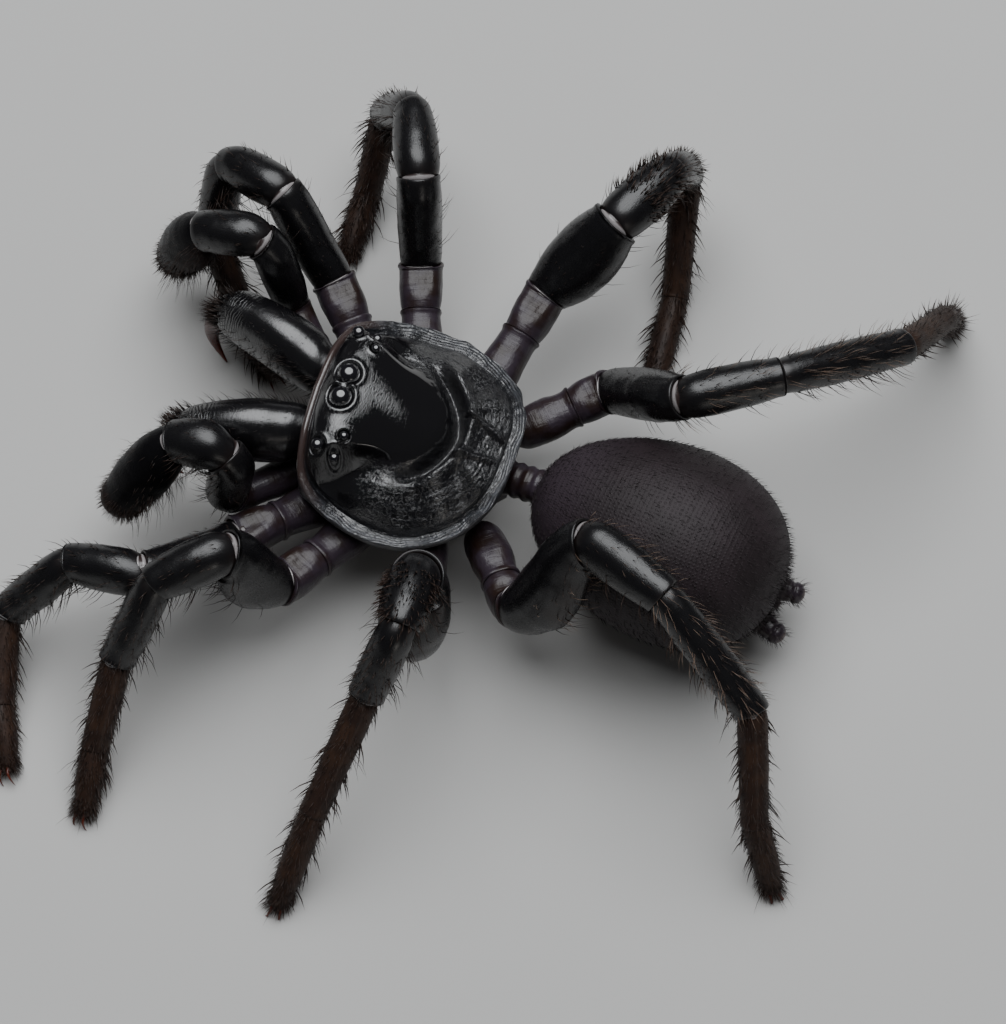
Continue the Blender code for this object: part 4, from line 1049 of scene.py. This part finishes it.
def fang(side_name, side, tip, finish, collar_finish):
    """A curved fang that hangs from the jaw's tip, and the dark collar round its root."""
    root = tip + np.array((FANG_ROOT[0] * side, *FANG_ROOT[1:]))
    t = np.linspace(-0.12, 1.0, 40)
    reach = np.clip(t, 0.0, 1.0)
    inward, lean, bow = FANG_CURVE
    places = root + np.stack([
        -inward * side * reach ** 2, lean * t - bow * np.sin(math.pi * reach), -FANG_LENGTH * t], axis=-1)
    headings = np.gradient(places, axis=0)
    size = FANG_RADIUS * (1.0 - 0.93 * reach ** 1.1)
    tube = Tube(places, headings, (1.0, 0.0, 0.0), size, size)
    add_grid(f"fang_{side_name}_shell", tube.rings(32), finish, tube.values(32), (f"fang_{side_name}",))
    places = root + np.array(COLLAR_RUN) * np.linspace(1.0, -0.22, 16)[:, None]
    size = FANG_RADIUS * blend(COLLAR_SIZES, np.linspace(0.0, 1.0, 16))
    collar = Tube(places, np.tile((0.0, 0.0, -1.0), (16, 1)), (1.0, 0.0, 0.0), size, size)
    add_grid(f"fang_{side_name}_collar", collar.rings(32, 0.05), collar_finish, collar.values(32))


def abdomen(skin, shell, hair):
    """The oval abdomen with its short hairs, its spinnerets and its stalk."""
    half_w, half_l, half_h = ABDOMEN_HALF
    yaw = math.radians(ABDOMEN_YAW)
    turn_to = np.array(((math.cos(yaw), math.sin(yaw), 0), (-math.sin(yaw), math.cos(yaw), 0), (0, 0, 1)))
    angle = np.linspace(0.0, math.pi, ABDOMEN_STEPS + 1)[1:-1]
    turn = np.arange(ABDOMEN_SIDES) * math.tau / ABDOMEN_SIDES
    along = -np.cos(angle)
    girth = (np.sin(angle) ** ABDOMEN_GIRTH_POWER * (1.0 + ABDOMEN_FULLER_REAR * along))[:, None]
    local = np.stack([
        half_w * girth * np.cos(turn), np.broadcast_to(half_l * along[:, None], (len(along), ABDOMEN_SIDES)),
        half_h * girth * np.sin(turn)], axis=-1)
    lungs = lung_covers(local)
    local[..., 2] -= LUNG_SUNK * lungs
    rings = local @ turn_to.T + ABDOMEN_CENTRE
    values = {"along": local[..., 1], "around": np.broadcast_to(turn, lungs.shape), "lung": lungs}
    add_grid("abdomen_skin", rings[::-1], skin, {k: v[::-1] for k, v in values.items()}, ("abdomen",))
    coat = Coat("abdomen_hairs", 7)
    flat = rings.reshape(-1, 3)
    normals = unit(((local / ABDOMEN_HALF ** 2) @ turn_to.T).reshape(-1, 3))
    picked = coat.draw.choice(len(flat), ABDOMEN_HAIRS, replace=False)
    outward = normals[picked]
    rearward = turn_to @ np.array((0.0, 1.0, 0.0))
    directions = unit(outward * 0.55 + rearward * 0.8 + coat.draw.normal(0.0, 0.18, (ABDOMEN_HAIRS, 3)))
    rise = np.minimum((directions * outward).sum(1), 0.3)[:, None]
    directions = unit(directions - outward * rise + outward * 0.3)
    lengths = coat.draw.uniform(*ABDOMEN_HAIR_LENGTHS, ABDOMEN_HAIRS)
    ring, side = np.divmod(picked, ABDOMEN_SIDES)
    patches = np.stack([0.02 + 0.96 * ring / len(along), side / ABDOMEN_SIDES], axis=-1)
    bends = np.tile(rearward * 0.2, (ABDOMEN_HAIRS, 1))
    coat.add(flat[picked], directions, bends, lengths, ABDOMEN_HAIR_WIDTH, patches)
    coat.finish(hair, "abdomen_skin")
    spinnerets(turn_to, shell, hair)
    waist(rings[0].mean(axis=0), shell)


def lung_covers(local):
    """1 on the four smooth patches under the front of the abdomen, where its lungs lie."""
    below = step_between(0.0, -2.0, local[..., 2])
    patch = np.zeros(local.shape[:2])
    for x, y in LUNG_COVERS:
        away = np.hypot((local[..., 0] - x) / LUNG_HALF[0], (local[..., 1] - y) / LUNG_HALF[1])
        patch = np.maximum(patch, hump(away, 0.0, 0.8))
    return patch * below


def spinnerets(turn_to, shell, hair):
    """Two pairs of spinnerets, ringed twice and rounded at the end."""
    t = np.linspace(0.0, 1.0, 40)
    size = 1.1 - 0.12 * hump(t, 0.45, 0.03) - 0.15 * hump(t, 0.72, 0.03)
    size = size * rounded_end(t, 0.78, 0.225)
    for name, (aside, before, above, out, drop, length, radius) in SPINNERETS.items():
        for side_name, side in (("left", 1), ("right", -1)):
            root = turn_to @ np.array((aside * side, ABDOMEN_HALF[1] - before, above)) + ABDOMEN_CENTRE
            heading = unit(turn_to @ np.array((out * side, 1.0, drop)))
            places = root + heading * length * t[:, None]
            tube = Tube(places, np.tile(heading, (40, 1)), (1.0, 0.0, 0.0), radius * size, radius * size)
            add_grid(f"spinneret_{name}_{side_name}", tube.rings(32), shell, tube.values(32))
            coat = Coat(f"spinneret_{name}_{side_name}_hairs", 40 + side + int(10 * length))
            coat.grow_rows(SPINNERET_HAIRS, {"spinneret": tube})
            coat.finish(hair, "abdomen_skin")


def waist(front_of_abdomen, shell):
    """Short stalk between the two parts of the body, with cross folds."""
    ends = WAIST_FRONT + np.array((0.0, -0.2, 0.0)), front_of_abdomen + np.array((0.0, 0.5, 0.0))
    t = np.linspace(0.0, 1.0, 60)
    places = ends[0] + (ends[1] - ends[0]) * t[:, None]
    size = WAIST_RADIUS * (0.98 + 0.05 * np.cos(t * math.tau * 5.0))
    tube = Tube(places, np.tile(ends[1] - ends[0], (60, 1)), (1.0, 0.0, 0.0), size, size)
    add_grid("pedicel_skin", tube.rings(40), shell, tube.values(40), ("pedicel",))


# Limbs


class Limb:
    """Centre line of a limb with rounded bends, and the distance along it of each joint."""

    def __init__(self, root, lengths, pose, foot_height):
        joints = [np.asarray(root, float)]
        for length, (yaw, pitch) in zip(lengths, pose):
            if pitch is None:
                pitch = math.degrees(math.asin((foot_height - joints[-1][2]) / length))
            joints.append(joints[-1] + heading_of(yaw, pitch) * length)
        self.across = unit(np.cross(joints[1] - joints[0], (0.0, 0.0, 1.0)))
        headings = [unit(b - a) for a, b in zip(joints, joints[1:])]
        places, courses, corners = [], [], [0]
        cursor = joints[0]
        for h0, h1, corner in zip(headings, headings[1:], joints[1:-1]):
            turn = math.acos(np.clip(h0 @ h1, -1.0, 1.0))
            reach = BEND_RADIUS * math.tan(turn / 2)
            start = corner - h0 * reach
            self.run(places, courses, cursor, start, h0)
            axis = unit(np.cross(h0, h1))
            centre = start + np.cross(axis, h0) * BEND_RADIUS
            steps = max(2, 2 * math.ceil(math.degrees(turn) / BEND_STEP / 2))
            for k in range(steps):
                places.append(centre + turned(start - centre, axis, turn * k / steps))
                courses.append(turned(h0, axis, turn * k / steps))
                if k == steps // 2:
                    corners.append(len(places) - 1)
            cursor = corner + h1 * reach
        self.run(places, courses, cursor, joints[-1], headings[-1])
        places.append(joints[-1])
        courses.append(headings[-1])
        corners.append(len(places) - 1)
        self.places, self.headings = np.array(places), np.array(courses)
        gaps = np.linalg.norm(np.diff(self.places, axis=0), axis=1)
        self.spans = np.concatenate(([0.0], np.cumsum(gaps)))
        self.marks = self.spans[corners]

    @staticmethod
    def run(places, courses, start, end, heading):
        count = max(1, round(np.linalg.norm(end - start) / LINE_STEP))
        for k in range(count):
            places.append(start + (end - start) * k / count)
            courses.append(heading)

    def stations(self, spans):
        """Places and headings at distances along the line, which goes on straight past its ends."""
        inside = np.clip(spans, 0.0, self.spans[-1])
        read = lambda rows: np.stack([np.interp(inside, self.spans, rows[:, k]) for k in range(3)], axis=-1)
        headings = unit(read(self.headings))
        return read(self.places) + headings * (spans - inside)[:, None], headings

    def part(self, shape, start, end, kind, first=0.0, last=1.0):
        """Shell from start to end; first and last say which share of the shape it takes."""
        tip = kind in ("tarsus", "tip")
        neck, neck_size, near_back = STARTS.get(kind, (0.0, 1.0, 0.0))
        body = np.arange(start, end, LINE_STEP)
        near = [start - 0.22, start - 0.12] if neck else [start - 0.02]
        spans = np.concatenate([near, body, [end - 0.02, end]])
        grow = np.clip((spans - start + 0.22) / (neck + 0.22), 0.0, 1.0) if neck else np.ones(len(spans))
        size = neck_size + (1.0 - neck_size) * np.sqrt(1.0 - (1.0 - grow) ** 2)
        if not neck:
            size = np.sqrt(1.0 - (1.0 - np.clip((spans - start + 0.03) / ROOT_ROUND, 0.0, 1.0)) ** 2)
        if tip:
            radius = 0.5 * SHAPES[shape][-1][1]
            turn = np.radians(np.arange(4, 90, 6))
            spans = np.concatenate([spans, end + radius * np.sin(turn)])
            size = np.concatenate([size, np.cos(turn)])
        else:
            rim = 0.08 if kind in FOLDS else 0.03
            size = size + rim * hump(spans, end - 0.08, 0.1)
            spans = np.concatenate([spans, [end + 0.02, end - 0.01, end - LIP_TUCK]])
            size = np.concatenate([size, [0.97, LIP_SIZE + 0.04, LIP_SIZE]])
        share = first + (last - first) * np.clip((spans - start) / (end - start), 0.0, 1.0)
        width, depth = blend(SHAPES[shape], share).T
        belly = blend(BELLIES[shape], share) if shape in BELLIES else np.zeros(len(share))
        places, headings = self.stations(spans)
        tube = Tube(places, headings, self.across, 0.5 * width * size, 0.5 * depth * size)
        tube.places = tube.places - tube.up * belly[:, None]
        tube.set_back = near_back * step_between(start + SET_BACK_REACH, start, spans)
        tube.set_back -= FAR_SET_BACK.get(kind, 0.0) * step_between(end - SET_BACK_REACH, end, spans)
        tube.fold = FOLDS.get(kind, 0.0) * step_between(start, 0.5 * (start + end), spans)
        return tube

    def sleeve(self, shape, mark, share, kind):
        """Skin that joins two shells at a joint, with two lips on its upper side."""
        spans = mark + np.linspace(*SLEEVE_REACH, 36)
        width, depth = blend(SHAPES[shape], share)
        places, headings = self.stations(spans)
        near_back = STARTS[kind][2]
        lips = hump(spans, mark - 0.04, 0.07) + hump(spans, mark + 0.6 * near_back + 0.03, 0.07)
        size = SLEEVE_SIZE + 0.045 * lips
        size -= 0.25 * step_between(mark + 0.3, mark + 0.7, spans)
        tube = Tube(places, headings, self.across, 0.5 * width * size, 0.5 * depth * size)
        rise = 0.35 * near_back * hump(spans, mark + 0.08, 0.22)
        tube.places = tube.places + tube.up * rise[:, None]
        tube.lip = lips
        return tube


def shape_of(part, number):
    named = f"{part}_{number}"
    return named if named in SHAPES else part


def joined_tubes(name, tubes, sides, material):
    """Several tubes as one piece."""
    points, faces, values, start = [], [], {}, 0
    for tube in tubes:
        rings = tube.rings(sides)
        rings[..., 2] = np.maximum(rings[..., 2], FLOOR_GAP)
        points.append(rings.reshape(-1, 3))
        faces += grid_faces(len(rings), sides, start)
        start += len(points[-1])
        for key, value in tube.values(sides).items():
            value = np.asarray(value)
            values.setdefault(key, []).append(value.reshape(-1, *value.shape[2:]))
    values = {key: np.concatenate(parts) for key, parts in values.items()}
    return add_piece(name, np.concatenate(points), faces, material, values)


def claw(root, heading, up, length, radius):
    """A claw that rises a little and then hooks down."""
    t = np.linspace(0.0, 1.0, 12)
    places = root + (heading * t[:, None] + up * (0.22 * np.sin(math.pi * t) - 0.32 * t ** 2)[:, None]) * length
    places[:, 2] = np.maximum(places[:, 2], CLAW_FLOOR)
    size = radius * (1.0 - 0.92 * t ** 1.3)
    return Tube(places, np.gradient(places, axis=0), np.cross(heading, up), size, size)


def leg_coat(name, seed, number, tubes, hairs):
    """Bristles of a leg, few on its upper side and more below and towards the foot."""
    coat = Coat(f"{name}_bristles", seed)
    stripe = 1.0 / 7.0
    lay = {key: (i * stripe, stripe) for i, key in enumerate(tubes)}
    rows = THIGH_BRISTLES + (KNEE_SPINES if number == 3 else ()) + SHIN_BRISTLES
    coat.grow_rows(rows, tubes, lay)
    coat.finish(hairs["foot_hair"])
    if number == 4:
        pale = Coat(f"{name}_pale_bristles", seed + 200)
        pale.grow_rows(PALE_BRISTLES, tubes, lay)
        pale.finish(hairs["pale_hair"])


def leg(name, seed, finishes):
    """One leg: its shells, the skin of its joints, its claws and its bristles."""
    number, side = int(name.split("_")[1]), 1 if name.endswith("left") else -1
    root = (HIP_ROOTS[number][0] * side, HIP_ROOTS[number][1], HIP_ROOT_Z)
    limb = Limb(root, LEG_LENGTHS[number], POSE[name], FOOT_HEIGHT * 0.5 * SHAPES["tarsus"][-1][1])
    marks = limb.marks
    trochanter = marks[0] + TROCHANTER_FROM * (marks[1] - marks[0])
    tubes = {
        "coxa": limb.part("hip", marks[0], trochanter, "coxa", 0.0, TROCHANTER_FROM),
        "trochanter": limb.part("hip", trochanter, marks[1], "trochanter", TROCHANTER_FROM, 1.0),
    }
    sleeves = [limb.sleeve("hip", trochanter, TROCHANTER_FROM, "trochanter")]
    for i, part in enumerate(LEG_PARTS[1:], start=1):
        shape = shape_of(part, number)
        tubes[part] = limb.part(shape, marks[i], marks[i + 1], part)
        sleeves.append(limb.sleeve(shape, marks[i], 0.0, part))
    stands_for = {"coxa": f"{name}_hip", "femur": f"{name}_femur", "patella": f"{name}_patella",
                  "tibia": f"{name}_tibia", "tarsus": f"{name}_foot"}
    for part, tube in tubes.items():
        rings = tube.rings(LIMB_SIDES, 0.06 if part in ("coxa", "trochanter") else 0.03)
        rings[..., 2] = np.maximum(rings[..., 2], 0.0)
        kind = {"coxa": "hip", "trochanter": "hip", "metatarsus": "foot", "tarsus": "foot"}.get(part, "limb")
        replaced = (stands_for[part],) if part in stands_for else ()
        add_grid(f"{name}_{part}_shell", rings, finishes[kind], tube.values(LIMB_SIDES), replaced)
    joined_tubes(f"{name}_joints", sleeves, LIMB_SIDES, finishes["skin"])
    end, heading = limb.places[-1], limb.headings[-1]
    across, up = tubes["tarsus"].across[-1], tubes["tarsus"].up[-1]
    hooks = [claw(end + across * 0.16 * s + up * 0.16 + heading * 0.15, unit(heading + across * 0.15 * s + up * 0.1),
                  up, CLAW_LENGTH, CLAW_RADIUS) for s in (1, -1)]
    joined_tubes(f"{name}_claws", hooks, 12, finishes["fang"])
    leg_coat(name, seed, number, tubes, finishes)


def palp(name, seed, finishes):
    """One palp: its shells, the skin of its joints, its claw and its bristles."""
    side = 1 if name.endswith("left") else -1
    limb = Limb((PALP_ROOT[0] * side, *PALP_ROOT[1:]), PALP_LENGTHS, POSE[name], 0.0)
    marks = limb.marks
    tubes, sleeves = {}, []
    for i, part in enumerate(PALP_PARTS):
        tubes[part] = limb.part(f"palp_{part}", marks[i], marks[i + 1], part)
        if i:
            sleeves.append(limb.sleeve(f"palp_{part}", marks[i], 0.0, part))
        kind = part if part in ("hip", "tip") else "limb"
        slot = "hip_shell" if part == "hip" else "black_shell"
        tube = tubes[part]
        rings = tube.rings(LIMB_SIDES, 0.04)
        add_grid(f"{name}_{part}_shell", rings, finishes[kind], tube.values(LIMB_SIDES), (f"{name}_{part}",))
    joined_tubes(f"{name}_joints", sleeves, LIMB_SIDES, finishes["skin"])
    coat = Coat(f"{name}_bristles", seed)
    lay = {key: (0.25 * i, 0.25) for i, key in enumerate(tubes)}
    coat.grow_rows(PALP_BRISTLES, tubes, lay)
    coat.finish(finishes["foot_hair"])
    end = limb.places[-1]
    radius = 0.5 * SHAPES["palp_tip"][-1][1]
    hook = claw(end + limb.headings[-1] * radius * 0.8, limb.headings[-1], tubes["tip"].up[-1], 0.6, 0.09)
    joined_tubes(f"{name}_claw", [hook], 12, finishes["fang"])


# Stage


def camera():
    """The camera, which puts the fovea on its pixel of the image."""
    azimuth, elevation = math.radians(AZIMUTH), math.radians(ELEVATION)
    right = np.array((math.cos(azimuth), math.sin(azimuth), 0.0))
    back = np.array((math.sin(azimuth) * math.cos(elevation), -math.cos(azimuth) * math.cos(elevation),
                     math.sin(elevation)))
    up = np.cross(back, right)
    middle = (0.5 * IMAGE_SIZE[0], 0.5 * IMAGE_SIZE[1])
    target = np.array((0.0, 0.0, FOVEA_HEIGHT)) + (
        (middle[0] - FOVEA_PIXEL[0]) * right - (middle[1] - FOVEA_PIXEL[1]) * up) / PIXELS_PER_MM
    data = bpy.data.cameras.new("camera")
    data.sensor_width = 36.0
    data.lens = PIXELS_PER_MM * CAMERA_DISTANCE / max(IMAGE_SIZE) * data.sensor_width
    data.clip_start, data.clip_end = 0.005, 20.0
    made = bpy.data.objects.new("camera", data)
    bpy.context.scene.collection.objects.link(made)
    made.matrix_world = Matrix((
        (right[0], up[0], back[0], 0.0), (right[1], up[1], back[1], 0.0), (right[2], up[2], back[2], 0.0),
        (0.0, 0.0, 0.0, 1.0)))
    made.location = Vector((target + back * CAMERA_DISTANCE) * MM + ORIGIN)
    bpy.context.scene.camera = made


def softbox(name, place, width, power, tint):
    """A round light that faces the animal; place and width are in mm."""
    data = bpy.data.lights.new(name, "AREA")
    data.shape, data.size, data.size_y = "ELLIPSE", width * MM, width * MM
    data.energy, data.color = power, tint
    made = bpy.data.objects.new(name, data)
    bpy.context.scene.collection.objects.link(made)
    made.location = Vector(np.asarray(place) * MM + ORIGIN)
    aim = Vector(ORIGIN + np.array(LIGHTS_AIM) * MM) - made.location
    made.rotation_mode = "QUATERNION"
    made.rotation_quaternion = aim.to_track_quat("-Z", "Y")


def stage():
    """The floor, the lights and the room."""
    mesh = bpy.data.meshes.new("floor")
    half = FLOOR_HALF
    mesh.from_pydata([(-half, -half, 0), (half, -half, 0), (half, half, 0), (-half, half, 0)], [], [(0, 1, 2, 3)])
    mesh.materials.append(floor_finish())
    floor = bpy.data.objects.new("floor", mesh)
    bpy.context.scene.collection.objects.link(floor)
    for name, light in LIGHTS.items():
        softbox(name, *light)
    world = bpy.data.worlds.new("room")
    bpy.context.scene.world = world
    world.use_nodes = True
    background = world.node_tree.nodes["Background"]
    background.inputs["Color"].default_value = ROOM_COLOUR
    background.inputs["Strength"].default_value = ROOM_STRENGTH


def main():
    """Build the whole animal on its stage."""
    camera()
    stage()
    finishes = {
        "limb": limb_shell(), "hip": hip_shell(), "foot": foot_shell(), "skin": joint_skin(),
        "fang": fang_shell(), "tip": tip_shell(),
        "foot_hair": bristle("foot_bristle", colour(0.010, 0.006, 0.005), colour(0.06, 0.028, 0.016), 0.4),
        "pale_hair": bristle("pale_bristle", colour(0.10, 0.06, 0.045), colour(0.36, 0.26, 0.19), 0.35),
    }
    shell_hair = bristle("shell_bristle", colour(0.006, 0.005, 0.005), colour(0.05, 0.03, 0.022), 0.35)
    belly_hair = bristle("abdomen_bristle", colour(0.012, 0.008, 0.009), colour(0.05, 0.035, 0.04), 0.5)
    carapace(back_shell())
    eyes(eye_lens())
    jaws(jaw_shell(), finishes["fang"], finishes["tip"], shell_hair)
    mouth(finishes["hip"], shell_hair)
    abdomen(abdomen_skin(), finishes["hip"], belly_hair)
    for seed, name in enumerate(POSE, start=1):
        if name.startswith("leg"):
            leg(name, seed, finishes)
        else:
            palp(name, seed, finishes)
    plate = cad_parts["sternum"]
    plate.data.materials.clear()
    plate.data.materials.append(plate_shell())


main()
